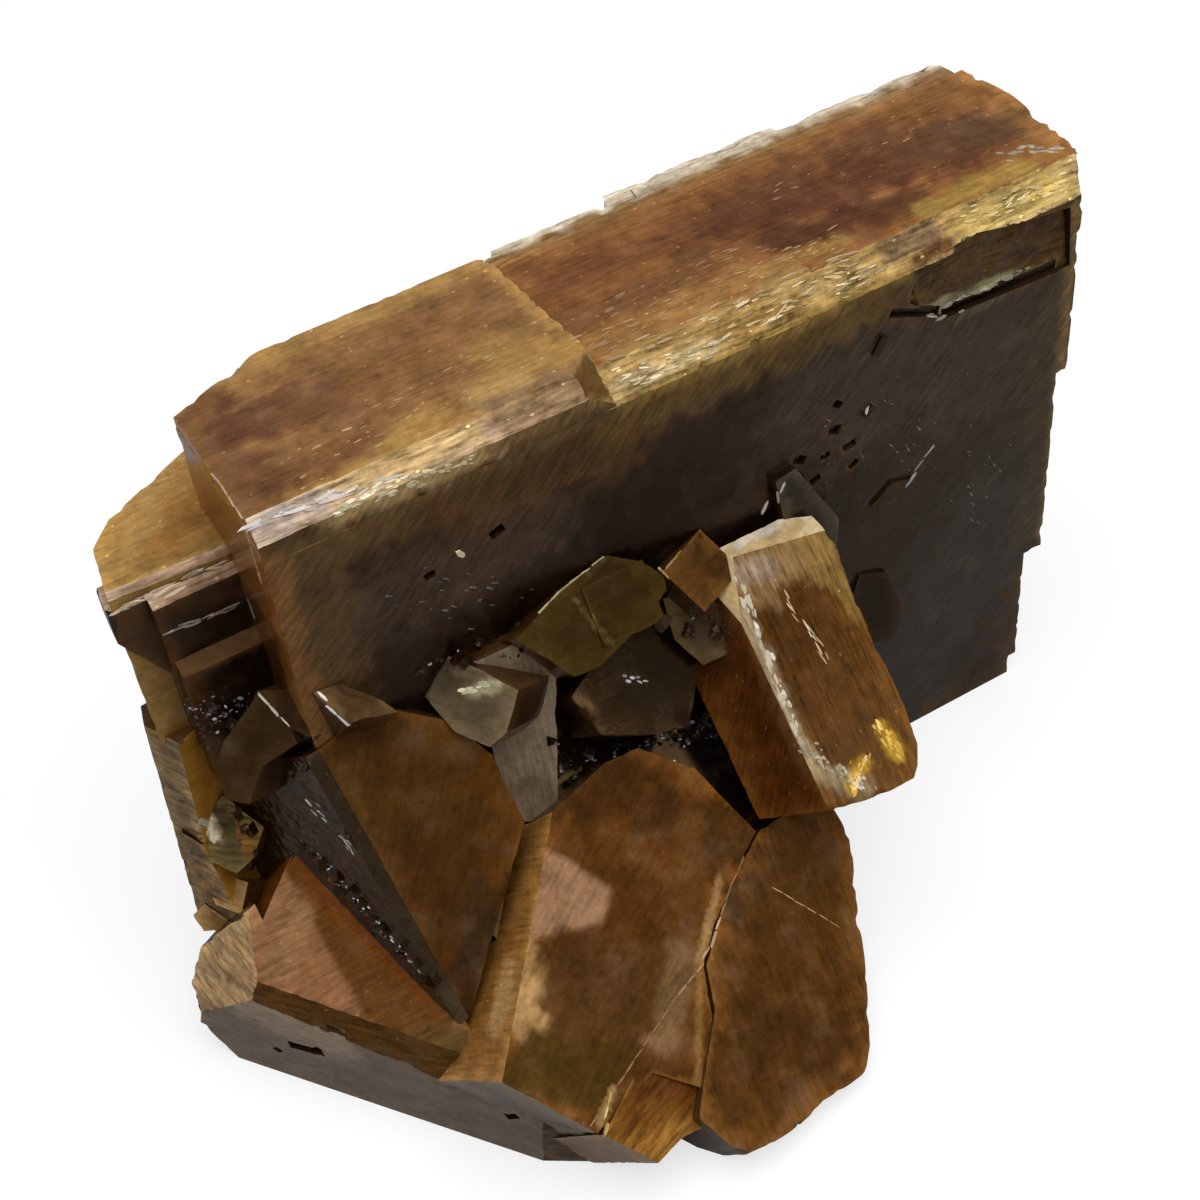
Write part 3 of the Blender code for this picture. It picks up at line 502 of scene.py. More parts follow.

# Thin cleavage scales, pale by their own colour, and painted glints made the same way: from a
# point to a point, how many, how far they stray, their lengths, the share of the length that is
# their width, and their colour
PALE_SCALES_AND_GLINTS = (
    ((0.6, 1.3, 73.9), (8.5, 1.2, 73.8), 9, 0.5, (2.0, 4.5), 0.14, "#d9cdc6"),
    ((3.0, 1.4, 74.0), (14.0, 0.6, 73.0), 22, 0.5, (1.2, 3.2), 0.12, "#d8c8b0"),
    ((8.0, 0.4, 72.8), (17.0, 0.1, 72.2), 40, 0.7, (0.4, 1.3), 0.3, "#e6d8b0"),
    ((16.0, 0.1, 72.4), (22.0, 0.0, 71.6), 24, 0.6, (0.3, 0.9), 0.4, "#ead8a4"),
    ((37.0, 1.2, 71.4), (50.0, 1.0, 71.2), 46, 1.1, (0.5, 2.0), 0.16, "#dfcb9c"),
    ((50.0, 1.6, 71.8), (68.0, 1.5, 71.6), 50, 1.1, (0.8, 2.8), 0.12, "#d6bd88"),
    ((78.0, 2.0, 72.2), (91.0, 1.6, 71.7), 46, 1.2, (0.6, 2.2), 0.18, "#dcc684"),
    ((38.0, 3.4, 73.2), (66.0, 3.0, 73.1), 50, 0.9, (0.6, 2.4), 0.12, "#c9a878"),
    # Painted glints: the bluish-white rows in the seams, the valley and the rear pocket.
    ((-3.4, 2.4, 31.0), (1.1, -12.5, 20.8), 40, 0.5, (0.2, 0.6), 0.5, "#dfe2ea"),
    ((-1.0, 0.5, 38.0), (0.5, -5.0, 33.0), 12, 1.0, (0.4, 1.6), 0.2, "#b8b2a8"),
    ((23.8, -4.5, 34.0), (24.2, -3.0, 27.5), 12, 0.6, (0.2, 0.6), 0.5, "#c8ccd8"),
    ((27.0, -3.0, 26.6), (43.0, -4.5, 25.0), 24, 1.3, (0.25, 0.8), 0.5, "#aab0c4"),
    ((-8.5, 9.8, 46.5), (-3.6, 9.2, 45.0), 22, 1.6, (0.2, 0.6), 0.5, "#b4b6c0"),
    ((88.0, 8.0, 73.2), (93.5, 4.0, 72.8), 26, 1.2, (0.4, 1.2), 0.4, "#b7a68c"),
    ((38.0, 6.0, 73.2), (66.0, 6.5, 73.2), 80, 2.2, (0.5, 1.8), 0.14, "#b58f66"),
    ((40.0, 9.5, 73.2), (60.0, 10.0, 73.2), 36, 2.0, (0.5, 1.6), 0.14, "#a9805a"),
    ((6.0, 6.0, 74.6), (32.0, 8.0, 74.6), 44, 3.5, (0.4, 1.3), 0.2, "#b4946a"),
    ((66.0, 16.0, 73.2), (86.0, 17.0, 73.2), 18, 3.0, (0.4, 1.4), 0.2, "#a88058"),
    ((73.0, 0.2, 63.2), (87.0, 0.2, 63.6), 22, 0.5, (0.5, 1.8), 0.3, "#a9a284"),
    ((-11.5, 12.6, 60.9), (-1.0, 12.0, 61.3), 26, 0.4, (1.0, 3.2), 0.12, "#cdb79c"),
    ((-8.6, 10.2, 57.0), (-0.4, 9.9, 56.4), 20, 0.4, (0.8, 2.6), 0.12, "#9c887a"),
    ((46.0, -4.6, 45.2), (44.7, -18.0, 32.6), 54, 0.5, (0.5, 1.5), 0.4, "#cbbd9e"),
    ((44.8, -18.0, 32.4), (49.0, -22.9, 28.0), 60, 0.8, (0.3, 0.9), 0.5, "#b0a080"),
    # Painted glints: the gold rows stand for light reflected inside the prism's foot.
    ((50.5, -20.8, 29.9), (47.8, -22.6, 28.3), 26, 0.7, (0.4, 1.2), 0.45, "#f0c040"),
    ((53.2, -19.0, 31.4), (54.2, -22.2, 28.9), 30, 0.7, (0.4, 1.3), 0.4, "#f3c646"),
    ((50.0, -7.0, 43.0), (51.5, -14.0, 36.8), 14, 0.8, (0.8, 2.2), 0.12, "#d8b684"),
    # Painted highlight: the pale row on the clear crystal's facet.
    ((14.6, -2.9, 46.4), (18.0, -5.0, 47.8), 10, 0.5, (0.6, 1.4), 0.4, "#e6e0b8"),
    ((-11.2, 11.0, 30.2), (-10.2, 10.2, 26.6), 16, 0.5, (0.6, 1.6), 0.5, "#d9ccb0"),
    ((32.0, -4.0, 38.6), (34.4, -5.0, 37.4), 8, 0.4, (0.3, 0.8), 0.4, "#a7a29c"),
    ((11.0, 0.0, 60.0), (24.0, 0.0, 52.0), 26, 3.0, (0.3, 1.0), 0.25, "#6e6256"),
    ((62.0, 0.0, 58.0), (86.0, 0.0, 30.0), 46, 7.0, (0.3, 1.0), 0.2, "#7a6c5c"),
    ((18.4, 0.0, 61.2), (18.6, 0.0, 61.0), 1, 0.05, (1.5, 1.6), 0.35, "#efe3b4"),
    ((65.5, -0.1, 55.2), (65.7, -0.1, 55.0), 1, 0.05, (1.3, 1.4), 0.35, "#e6e0d4"),
)

# Painted highlights: pale strips on edges that shine from end to end: two points, width, colour
PAINTED_EDGE_HIGHLIGHTS = (
    ((-2.7, 5.4, 50.0), (-1.5, 1.5, 47.8), 0.22, "#d8c8b8"),
    ((1.5, -0.1, 52.6), (3.3, -3.0, 49.6), 0.3, "#f2ece6"),
    ((0.05, 9.5, 74.4), (0.05, 2.5, 74.4), 0.25, "#c9a888"),
    ((-0.05, 2.3, 73.0), (-0.05, 2.4, 66.0), 0.2, "#d9a878"),
    ((24.7, -2.0, 51.0), (33.4, 0.0, 52.2), 0.22, "#c4b88e"),
    ((70.6, -0.5, 41.6), (74.5, -0.1, 45.4), 0.2, "#a8a29c"),
    ((52.2, -0.8, 47.6), (54.6, -0.8, 51.6), 0.3, "#cfc4b8"),
    ((38.0, -3.0, 48.6), (41.5, -0.8, 49.6), 0.2, "#a88a5c"),
    ((9.2, -34.2, 12.4), (12.2, -31.4, 13.9), 0.35, "#c9a868"),
    ((37.0, -18.0, 19.4), (31.6, -21.7, 17.4), 0.16, "#8a6a44"),
    ((31.6, -21.7, 17.4), (27.5, -24.7, 15.8), 0.3, "#b3906a"),
    ((27.5, -24.7, 15.8), (23.2, -26.3, 15.4), 0.35, "#a8845c"),
    ((23.2, -26.3, 15.4), (8.4, -33.0, 12.8), 0.2, "#98744c"),
    ((38.8, -22.0, 17.7), (44.2, -27.3, 12.2), 0.14, "#b8945e"),
)


def style_of(normal, centre, area):
    """The table's style for a face, found by its plane."""
    if normal.z < -0.99 and centre.z < 0.1:
        return "foot"
    for name, azimuth, elevation, point in FACES:
        way = direction(azimuth, elevation)
        off = abs((centre - Vector(point)).dot(way))
        if normal.dot(way) > SAME_SIDE and off < SAME_PLANE:
            return name
    for azimuth, elevation, point in PITTED:
        depth = (Vector(point) - centre).dot(direction(azimuth, elevation))
        if area < PIT_AREA and -PIT_RIM < depth < PIT_DEPTH:
            return "pit"
    if area < SPECK_AREA:
        return "speck"
    if centre.y > BACK_FROM or (normal.y > 0.5 and centre.y > BACK_SIDE_FROM):
        return "back"
    return "plain"


def looks(name):
    """A style's values, with the plain ones where it names none."""
    return dict(PLAIN, **STYLES[name])


def face_axes(normal):
    """Level and upward directions on a face."""
    if abs(normal.z) > 0.999:
        return Vector((1, 0, 0)), Vector((0, math.copysign(1, normal.z), 0))
    across = Vector((-normal.y, normal.x, 0)).normalized()
    return across, normal.cross(across)


def flat_faces(node):
    """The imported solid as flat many-sided faces, in millimetres from the main crystal's foot."""
    bm = bmesh.new()
    bm.from_mesh(node.data)
    bm.transform(node.matrix_world)
    for v in bm.verts:
        v.co = v.co / MM - FOOT
    bmesh.ops.remove_doubles(bm, verts=bm.verts[:], dist=MERGED)
    bmesh.ops.dissolve_limit(bm, angle_limit=math.radians(FLAT_WITHIN), verts=bm.verts[:],
                             edges=bm.edges[:])
    bmesh.ops.recalc_face_normals(bm, faces=bm.faces[:])
    bm.normal_update()
    return bm


def grid_inside(loop, step):
    """Points of an uneven triangular grid inside an outline, clear of its edge."""
    low = loop.min(axis=0)
    high = loop.max(axis=0)
    if min(high - low) < 0.8 * step:
        return np.zeros((0, 2))
    rows = np.arange(low[1] + 0.3 * step, high[1], step * 0.866)
    columns = np.arange(low[0], high[0] + step, step)
    u, v = np.meshgrid(columns, rows)
    u = u + (np.arange(len(rows)) % 2 * 0.5 * step)[:, None]
    chance = np.random.RandomState(GRID_SEED + len(loop))
    jitter = chance.uniform(-0.22, 0.22, (2,) + u.shape) * step
    points = np.stack([(u + jitter[0]).ravel(), (v + jitter[1]).ravel()], axis=1)
    inside = np.zeros(len(points), bool)
    near = np.full(len(points), 1e9)
    for (ax, ay), (bx, by) in zip(loop, np.roll(loop, -1, axis=0)):
        crosses = (ay > points[:, 1]) != (by > points[:, 1])
        if ay != by:
            hit = (bx - ax) * (points[:, 1] - ay) / (by - ay) + ax
            inside ^= crosses & (points[:, 0] < hit)
        near = np.minimum(near, (points[:, 0] - ax) ** 2 + (points[:, 1] - ay) ** 2)
    return points[inside & (near > (0.5 * step) ** 2)]


def cut_fine(bm):
    """Every face as small triangles that share the points on its edges.

    Gives the points, and for each face its style, axes, point numbers and triangles."""
    styles = {}
    for face in bm.faces:
        name = style_of(face.normal, face.calc_center_median(), face.calc_area())
        styles[face.index] = name
    points = [v.co.copy() for v in bm.verts]
    owners = [[face.index for face in v.link_faces] for v in bm.verts]
    along = {}
    for edge in bm.edges:
        steps = [looks(styles[face.index])["step"] for face in edge.link_faces]
        count = max(1, round(edge.calc_length() / min(steps)))
        a, b = edge.verts
        chain = [a.index]
        for i in range(1, count):
            chain.append(len(points))
            points.append(a.co.lerp(b.co, i / count))
            owners.append([face.index for face in edge.link_faces])
        chain.append(b.index)
        along[edge.index] = chain
    pieces = []
    for face in bm.faces:
        rim = []
        for loop in face.loops:
            chain = along[loop.edge.index]
            if chain[0] != loop.vert.index:
                chain = chain[::-1]
            rim.extend(chain[:-1])
        style = looks(styles[face.index])
        across, up = face_axes(face.normal)
        origin = points[rim[0]]
        flat = np.array([((points[i] - origin).dot(across), (points[i] - origin).dot(up))
                         for i in rim])
        inner = grid_inside(flat, style["step"])
        spots = [Vector(p) for p in flat.tolist()] + [Vector(p) for p in inner.tolist()]
        count = len(rim)
        made, _, corners, source, _, _ = delaunay_2d_cdt(
            spots, [], [list(range(count))], 1, 1e-5)
        numbers = []
        for i, spot in enumerate(made):
            known = [k for k in source[i] if k < count]
            if known:
                numbers.append(rim[known[0]])
            else:
                numbers.append(len(points))
                points.append(origin + across * spot.x + up * spot.y)
                owners.append([face.index])
        triangles = []
        for corner in corners:
            ids = [numbers[k] for k in corner]
            for k in range(1, len(ids) - 1):
                if len({ids[0], ids[k], ids[k + 1]}) == 3:
                    triangles.append((ids[0], ids[k], ids[k + 1]))
        pieces.append(dict(index=face.index, style=style, name=styles[face.index],
                           normal=face.normal.copy(), across=across, up=up, triangles=triangles))
    return points, owners, pieces


def grown_height(kind, height, u, v, spot):
    """How far a point inside a face stands out: low growth steps, or the ledges of a break."""
    if kind == "growth":
        wave = noise.noise(Vector((u * 0.03, v * 0.3, 7.0)))
        return height * round(wave * 5) / 2.5
    if kind == "broken":
        coarse = noise.noise(spot * 0.33)
        fine = noise.noise(spot * 1.1 + Vector((9, 3, 1)))
        return height * (round(coarse * 5) / 3 + 0.5 * round(fine * 3) / 2 - 0.3)
    return 0.0


def edge_wear(spot):
    """How much is chipped off an edge at a place, from 0 to about 1."""
    coarse = max(0.0, noise.noise(spot * 0.33 + Vector((4, 8, 2))) - 0.2)
    fine = max(0.0, noise.noise(spot * 1.2) - 0.15)
    return 1.3 * coarse + 0.8 * fine


def wear_and_grow(points, owners, pieces):
    """Moves the points: ledges and growth steps inside faces, chips along edges."""
    by_index = {piece["index"]: piece for piece in pieces}
    moved = []
    for spot, faces in zip(points, owners):
        if spot.z < FOOT_HEIGHT:
            moved.append(spot.copy())
            continue
        first = by_index[faces[0]]
        if len(faces) == 1:
            kind, height = first["style"]["relief"]
            angle = math.radians(first["style"]["lines"][0])
            across = spot.dot(first["across"])
            up = spot.dot(first["up"])
            u = across * math.cos(angle) + up * math.sin(angle)
            v = up * math.cos(angle) - across * math.sin(angle)
            moved.append(spot + first["normal"] * grown_height(kind, height, u, v, spot))
            continue
        normals = [by_index[i]["normal"] for i in faces]
        middle = sum(normals, Vector())
        if middle.length < 0.3:
            moved.append(spot.copy())
            continue
        middle.normalize()
        chips = max(by_index[i]["style"]["chips"] for i in faces)
        flat = min(middle.dot(n) for n in normals) > 0.995
        amount = 0.0 if flat else chips * edge_wear(spot)
        place = spot - middle * min(amount, DEEPEST_CHIP)
        place.z = max(place.z, 0.0)
        moved.append(place)
    return moved


def light_through(tree, spot, normal, across, up):
    """How much light reaches a point from the far sides: 0 where thick, 1 at a thin edge."""
    start = spot - normal * JUST_INSIDE
    parts = []
    for side, lift in ((0, 0), (1, 0), (-1, 0), (0, 1), (0, -1)):
        way = (-normal + across * side + up * lift).normalized()
        hit = tree.ray_cast(start, way)[3]
        parts.append(math.exp(-(hit or 0.0) / LIGHT_DEPTH))
    return 0.6 * max(parts) + 0.4 * sum(parts) / 5


def patch_weight(places, start, end, width, ragged):
    """How strongly a patch from start to end covers each place; its edge is uneven."""
    a = np.array(start, float)
    b = np.array(end, float)
    run = b - a
    t = np.clip((places - a) @ run / max(run @ run, 1e-9), 0, 1)
    gap = np.linalg.norm(places - a - t[:, None] * run, axis=1)
    reach = 1 - (gap + ragged * 0.45 * width) / width
    reach = np.clip(reach * 1.6, 0, 1)
    return reach * reach * (3 - 2 * reach)


def zone_weight(places, corners, across, up, ragged):
    """How strongly a sharp-edged patch covers each place: 1 inside its corners, 0 outside."""
    sides = np.array([across, up], float).T
    flat = places @ sides
    loop = np.array(corners, float) @ sides
    inside = np.zeros(len(flat), bool)
    near = np.full(len(flat), 1e9)
    for a, b in zip(loop, np.roll(loop, -1, axis=0)):
        crosses = (a[1] > flat[:, 1]) != (b[1] > flat[:, 1])
        rise = b[1] - a[1] or 1e-9
        inside ^= crosses & (flat[:, 0] < (b[0] - a[0]) * (flat[:, 1] - a[1]) / rise + a[0])
        run = b - a
        t = np.clip((flat - a) @ run / (run @ run), 0, 1)
        near = np.minimum(near, np.linalg.norm(flat - a - t[:, None] * run, axis=1))
    return np.clip(0.5 + (np.where(inside, near, -near) + 0.3 * ragged) / 0.8, 0, 1)


def colour_piece(tree, piece, points, ids):
    """Colour, finish and detail of each point of a face."""
    style = piece["style"]
    places = np.array([points[i] for i in ids])
    if piece["name"] == "foot":
        glow = np.zeros(len(ids))
    else:
        glow = np.array([light_through(tree, points[i], piece["normal"], piece["across"],
                                       piece["up"]) for i in ids])
    ragged = np.array([noise.noise(points[i] * 0.5) + 0.5 * noise.noise(points[i] * 1.7)
                       for i in ids])
    deep = np.array(linear(style["deep"])[:3])
    thin = np.array(linear(style["thin"])[:3])
    # Painted light: the tone turns from deep to thin where light would come through a thin place.
    mix = np.clip(glow * GLOW_GAIN - GLOW_LOSS + UNEVEN_GLOW * ragged, 0, 1)[:, None]
    tone = deep * (1 - mix) + thin * mix
    covers = [(zone_weight(places, corners, piece["across"], piece["up"], ragged), code, strength)
              for corners, code, strength in style["zones"]]
    covers += [(patch_weight(places, start, end, width, ragged), code, strength)
               for start, end, width, code, strength in style["marks"]]
    for cover, code, strength in covers:
        weight = (cover * strength)[:, None]
        tone = tone * (1 - weight) + np.array(linear(code)[:3]) * weight
    tone = tone * (1 + UNEVEN_TONE * ragged)[:, None]
    tone = np.clip(tone, 0.002, 0.9)
    ones = np.ones(len(ids))
    finish = np.stack([ones * style["rough"], ones * style["clear"],
                       ones * style["lines"][1], ones], axis=1)
    detail = np.stack([ones * style["cloud"], ones * style["flecks_and_glints"],
                       ones * (1.0 if style["relief"][0] == "broken" else 0.0), ones], axis=1)
    angle = math.radians(style["lines"][0])
    level = places @ np.array(piece["across"])
    rise = places @ np.array(piece["up"])
    grain = np.stack([level * math.cos(angle) + rise * math.sin(angle),
                      rise * math.cos(angle) - level * math.sin(angle)], axis=1)
    return np.column_stack([tone, ones]), finish, detail, grain


def crystal_mesh(node, name):
    """The dressed cluster as one closed mesh with its colour, finish and grain on each corner.

    Gives a search tree of its surface too."""
    bm = flat_faces(node)
    bm.faces.index_update()
    bm.verts.index_update()
    bm.edges.index_update()
    tree = BVHTree.FromBMesh(bm)
    points, owners, pieces = cut_fine(bm)
    bm.free()
    moved = wear_and_grow(points, owners, pieces)
    triangles = []
    tones = []
    finishes = []
    details = []
    grains = []
    smooth = []
    faces_of = []
    for piece in pieces:
        ids = sorted({i for triangle in piece["triangles"] for i in triangle})
        if not ids:
            continue
        row = {number: k for k, number in enumerate(ids)}
        tone, finish, detail, grain = colour_piece(tree, piece, points, ids)
        order = [row[i] for triangle in piece["triangles"] for i in triangle]
        triangles.extend(piece["triangles"])
        tones.append(tone[order])
        finishes.append(finish[order])
        details.append(detail[order])
        grains.append(grain[order])
        flat = piece["style"]["relief"][0] == "broken"
        smooth.extend([not flat] * len(piece["triangles"]))
        faces_of.extend([piece["index"]] * len(piece["triangles"]))
    mesh = bpy.data.meshes.new(name)
    mesh.from_pydata([(p + FOOT) * MM for p in moved], [], triangles)
    for title, rows in (("tone", tones), ("finish", finishes), ("detail", details)):
        layer = mesh.color_attributes.new(title, "FLOAT_COLOR", "CORNER")
        layer.data.foreach_set("color", np.concatenate(rows).ravel())
    layer = mesh.uv_layers.new(name="grain")
    layer.data.foreach_set("uv", np.concatenate(grains).ravel())
    mesh.polygons.foreach_set("use_smooth", smooth)
    mark_sharp(mesh, faces_of, {piece["index"]: piece["normal"] for piece in pieces},
               {piece["index"]: piece["name"] for piece in pieces})
    mesh.update()
    return mesh, BVHTree.FromPolygons(moved, triangles)


def mark_sharp(mesh, faces_of, normals, styles):
    """Edges between faces that look different ways are sharp, but for the rounded ones."""
    seen = {}
    for polygon in mesh.polygons:
        for key in polygon.edge_keys:
            seen.setdefault(key, []).append(faces_of[polygon.index])
    sharp = []
    for edge in mesh.edges:
        sides = seen.get(tuple(sorted(edge.vertices)), ())
        turn = normals[sides[0]].dot(normals[sides[1]]) if len(sides) > 1 else 1.0
        soft = len(sides) > 1 and {styles[sides[0]], styles[sides[1]]} in SOFT_EDGES
        sharp.append(turn < SHADED_AS_ONE and not soft)
    mesh.edges.foreach_set("use_edge_sharp", sharp)


def add(tree, kind, settings=None, links=None):
    """Adds a node, sets what settings names, and links its inputs to other nodes' outputs."""
    node = tree.nodes.new(kind)
    for key, value in (settings or {}).items():
        if isinstance(key, int) or key in node.inputs:
            node.inputs[key].default_value = value
        else:
            setattr(node, key, value)
    for key, source in (links or {}).items():
        tree.links.new(source, node.inputs[key])
    return node


def new_material(name):
    material = bpy.data.materials.new(name)
    material.use_nodes = True
    material.node_tree.nodes.clear()
    return material, material.node_tree


def face_patterns(tree, grain, place):
    """The patterns on a face and in the crystal under it, each from 0 to 1."""
    drawn = add(tree, "ShaderNodeMapping", {"Scale": (LINE_STRETCH, 1.0, 1.0)}, {"Vector": grain})
    torn = add(tree, "ShaderNodeMapping", {"Scale": (SHRED_STRETCH, 1.0, 1.0)},
               {"Vector": grain})
    patterns = {}
    for name, at, settings in (
            ("streak", drawn.outputs[0],
             {"Scale": LINES_PER_MM, "Detail": 5.0, "Roughness": 0.66}),
            ("shred", torn.outputs[0],
             {"Scale": SHREDS_PER_MM, "Detail": 5.0, "Roughness": 0.62, "Distortion": 0.35}),
            ("veil", place, {"Scale": VEILS_PER_METRE, "Detail": 6.0, "Roughness": 0.66}),
            ("grit", place, {"Scale": GRIT_PER_METRE, "Detail": 2.0, "Roughness": 0.6})):
        node = add(tree, "ShaderNodeTexNoise", settings, {"Vector": at})
        patterns[name] = node.outputs["Fac"]
    return patterns


def body_colour(tree, tone, patterns, lines, cloud, broken):
    """The face's tone, lighter and darker by its patterns, and milky where a veil is densest."""
    factor = None
    for name, weight, low, high in (("streak", lines, -0.5, 0.6), ("shred", broken, -0.55, 0.55),
                                    ("veil", cloud, -0.4, 0.4), ("grit", None, -0.12, 0.12)):
        part = add(tree, "ShaderNodeMapRange",
                   {"From Min": 0.33, "From Max": 0.67, "To Min": low, "To Max": high},
                   {"Value": patterns[name]}).outputs[0]
        if weight:
            part = add(tree, "ShaderNodeMath", {"operation": "MULTIPLY"},
                       {0: part, 1: weight}).outputs[0]
        links = {0: part, 1: factor} if factor else {0: part}
        factor = add(tree, "ShaderNodeMath", {"operation": "ADD", 1: 1.0}, links).outputs[0]
    factor = add(tree, "ShaderNodeMath", {"operation": "MAXIMUM", 1: 0.15},
                 {0: factor}).outputs[0]
    body = add(tree, "ShaderNodeVectorMath", {"operation": "SCALE"},
               {0: tone, "Scale": factor}).outputs[0]
    milk = add(tree, "ShaderNodeMapRange", {"From Min": 0.52, "From Max": 0.8, "To Max": 0.4},
               {"Value": patterns["veil"]}).outputs[0]
    milk = add(tree, "ShaderNodeMath", {"operation": "MULTIPLY"}, {0: milk, 1: cloud}).outputs[0]
    pale = add(tree, "ShaderNodeVectorMath", {"operation": "SCALE", 0: linear("#ffe6cc")[:3],
                                              "Scale": 0.16}).outputs[0]
    veiled = add(tree, "ShaderNodeMix", {"data_type": "RGBA"}, {0: milk, 6: body, 7: pale})
    return veiled.outputs[2]


def scale_and_glint_cover(tree, grain, flecks_and_glints):
    """Where pale scales and painted glints lie: one in four cells of about a millimetre holds a
    sharp-edged one.
    """
    spread = add(tree, "ShaderNodeMapping", {"Scale": (CELL_STRETCH, 1.0, 1.0)},
                 {"Vector": grain})
    cell = add(tree, "ShaderNodeTexVoronoi", {"voronoi_dimensions": "2D",
                                              "distance": "MANHATTAN", "Scale": CELLS_PER_MM},
               {"Vector": spread.outputs[0]}).outputs
    chance = add(tree, "ShaderNodeSeparateColor", {}, {"Color": cell["Color"]}).outputs["Red"]
    reach = add(tree, "ShaderNodeMath", {"operation": "MULTIPLY_ADD", 1: 0.6, 2: -0.432},
                {0: chance}).outputs[0]
    inside_by = add(tree, "ShaderNodeMath", {"operation": "SUBTRACT"},
                    {0: reach, 1: cell["Distance"]}).outputs[0]
    sharp = add(tree, "ShaderNodeMapRange", {"From Max": 0.04}, {"Value": inside_by}).outputs[0]
    return add(tree, "ShaderNodeMath", {"operation": "MULTIPLY"}, {0: sharp, 1: flecks_and_glints}).outputs[0]


def surface_height(tree, patterns, lines, broken):
    """The fine relief: growth lines, deeper ledges of a break, and a little grit."""
    height = add(tree, "ShaderNodeMath", {"operation": "MULTIPLY"},
                 {0: patterns["streak"], 1: lines}).outputs[0]
    ledges = add(tree, "ShaderNodeMath", {"operation": "MULTIPLY", 1: 2.0},
                 {0: patterns["shred"]}).outputs[0]
    height = add(tree, "ShaderNodeMath", {"operation": "MULTIPLY_ADD"},
                 {0: ledges, 1: broken, 2: height}).outputs[0]
    height = add(tree, "ShaderNodeMath", {"operation": "MULTIPLY_ADD", 1: 0.12},
                 {0: patterns["grit"], 2: height}).outputs[0]
    return add(tree, "ShaderNodeBump", {"Strength": 0.45, "Distance": 0.00012},
               {"Height": height}).outputs[0]


def barite_material():
    """Polished growth faces of clear brown barite: glassy, with fine parallel growth lines, veils
    that catch the light, small pale scales and painted glints, and duller shredded places where a
    face is broken."""
    material, tree = new_material("grown_brown_barite")
    tone = add(tree, "ShaderNodeAttribute", {"attribute_name": "tone"}).outputs["Color"]
    finish = add(tree, "ShaderNodeAttribute", {"attribute_name": "finish"}).outputs["Color"]
    detail = add(tree, "ShaderNodeAttribute", {"attribute_name": "detail"}).outputs["Color"]
    parts = add(tree, "ShaderNodeSeparateColor", {}, {"Color": finish}).outputs
    rough, clear, lines = parts["Red"], parts["Green"], parts["Blue"]
    parts = add(tree, "ShaderNodeSeparateColor", {}, {"Color": detail}).outputs
    cloud, flecks_and_glints, broken = parts["Red"], parts["Green"], parts["Blue"]
    grain = add(tree, "ShaderNodeUVMap", {"uv_map": "grain"}).outputs["UV"]
    place = add(tree, "ShaderNodeTexCoord").outputs["Object"]

    patterns = face_patterns(tree, grain, place)
    body = body_colour(tree, tone, patterns, lines, cloud, broken)
    scale = scale_and_glint_cover(tree, grain, flecks_and_glints)
    # Painted glints and pale scales: where a cell holds one, the tone is made much lighter.
    scale_and_glint_colour = add(tree, "ShaderNodeVectorMath", {"operation": "MULTIPLY_ADD", 1: (2.4, 2.4, 2.4),
                                             2: (0.05, 0.04, 0.03)}, {0: tone}).outputs[0]
    colour = add(tree, "ShaderNodeMix", {"data_type": "RGBA"}, {0: scale, 6: body, 7: scale_and_glint_colour})
    uncovered = add(tree, "ShaderNodeMath", {"operation": "MULTIPLY_ADD", 1: -1.0, 2: 1.0},
                    {0: scale}).outputs[0]
    seen_through = add(tree, "ShaderNodeMath", {"operation": "MULTIPLY"},
                       {0: clear, 1: uncovered}).outputs[0]
    rough_more = add(tree, "ShaderNodeMath", {"operation": "MULTIPLY_ADD", 1: 0.1},
                     {0: patterns["veil"], 2: rough}).outputs[0]
    surface = add(tree, "ShaderNodeBsdfPrincipled",
                  {"IOR": REFRACTION, "Specular IOR Level": SHEEN_LEVEL,
                   "Specular Tint": linear("#c49a66")},
                  {"Base Color": colour.outputs[2], "Roughness": rough_more,
                   "Transmission Weight": seen_through,
                   "Normal": surface_height(tree, patterns, lines, broken)})
    inside = add(tree, "ShaderNodeVolumeAbsorption",
                 {"Color": linear("#dcae62"), "Density": 220.0})
    add(tree, "ShaderNodeOutputMaterial", {}, {"Surface": surface.outputs[0],
                                               "Volume": inside.outputs[0]})
    return material


def glint_material(name, rough, clear):
    """Glassy faces of pieces too small to be brown through; each piece has its own colour."""
    material, tree = new_material(name)
    tone = add(tree, "ShaderNodeAttribute", {"attribute_name": "tone"}).outputs["Color"]
    surface = add(tree, "ShaderNodeBsdfPrincipled",
                  {"IOR": REFRACTION, "Roughness": rough, "Transmission Weight": clear},
                  {"Base Color": tone})
    add(tree, "ShaderNodeOutputMaterial", {}, {"Surface": surface.outputs[0]})
    return material


def link(item):
    bpy.context.scene.collection.objects.link(item)
    return item


def dress_cluster():
    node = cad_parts["barite_cluster"]
    mesh, surface = crystal_mesh(node, "cluster_body")
    body = link(bpy.data.objects.new("cluster_body", mesh))
    body.data.materials.append(barite_material())
    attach(body, "root")
    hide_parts("barite_cluster")
    return surface


def small_shape(name, outline, rings):
    """A closed flat piece one unit across: an outline repeated at heights, each with its size."""
    count = len(outline)
    points = [(x * size, y * size, z) for z, size in rings for x, y in outline]
    faces = [tuple(range(count))[::-1]]
    for ring in range(len(rings) - 1):
        low = ring * count
        for i in range(count):
            j = (i + 1) % count
            faces.append((low + i, low + j, low + count + j, low + count + i))
    faces.append(tuple(range(count * (len(rings) - 1), count * len(rings))))
    mesh = bpy.data.meshes.new(name)
    mesh.from_pydata(points, [], faces)
    return link(bpy.data.objects.new(name, mesh))


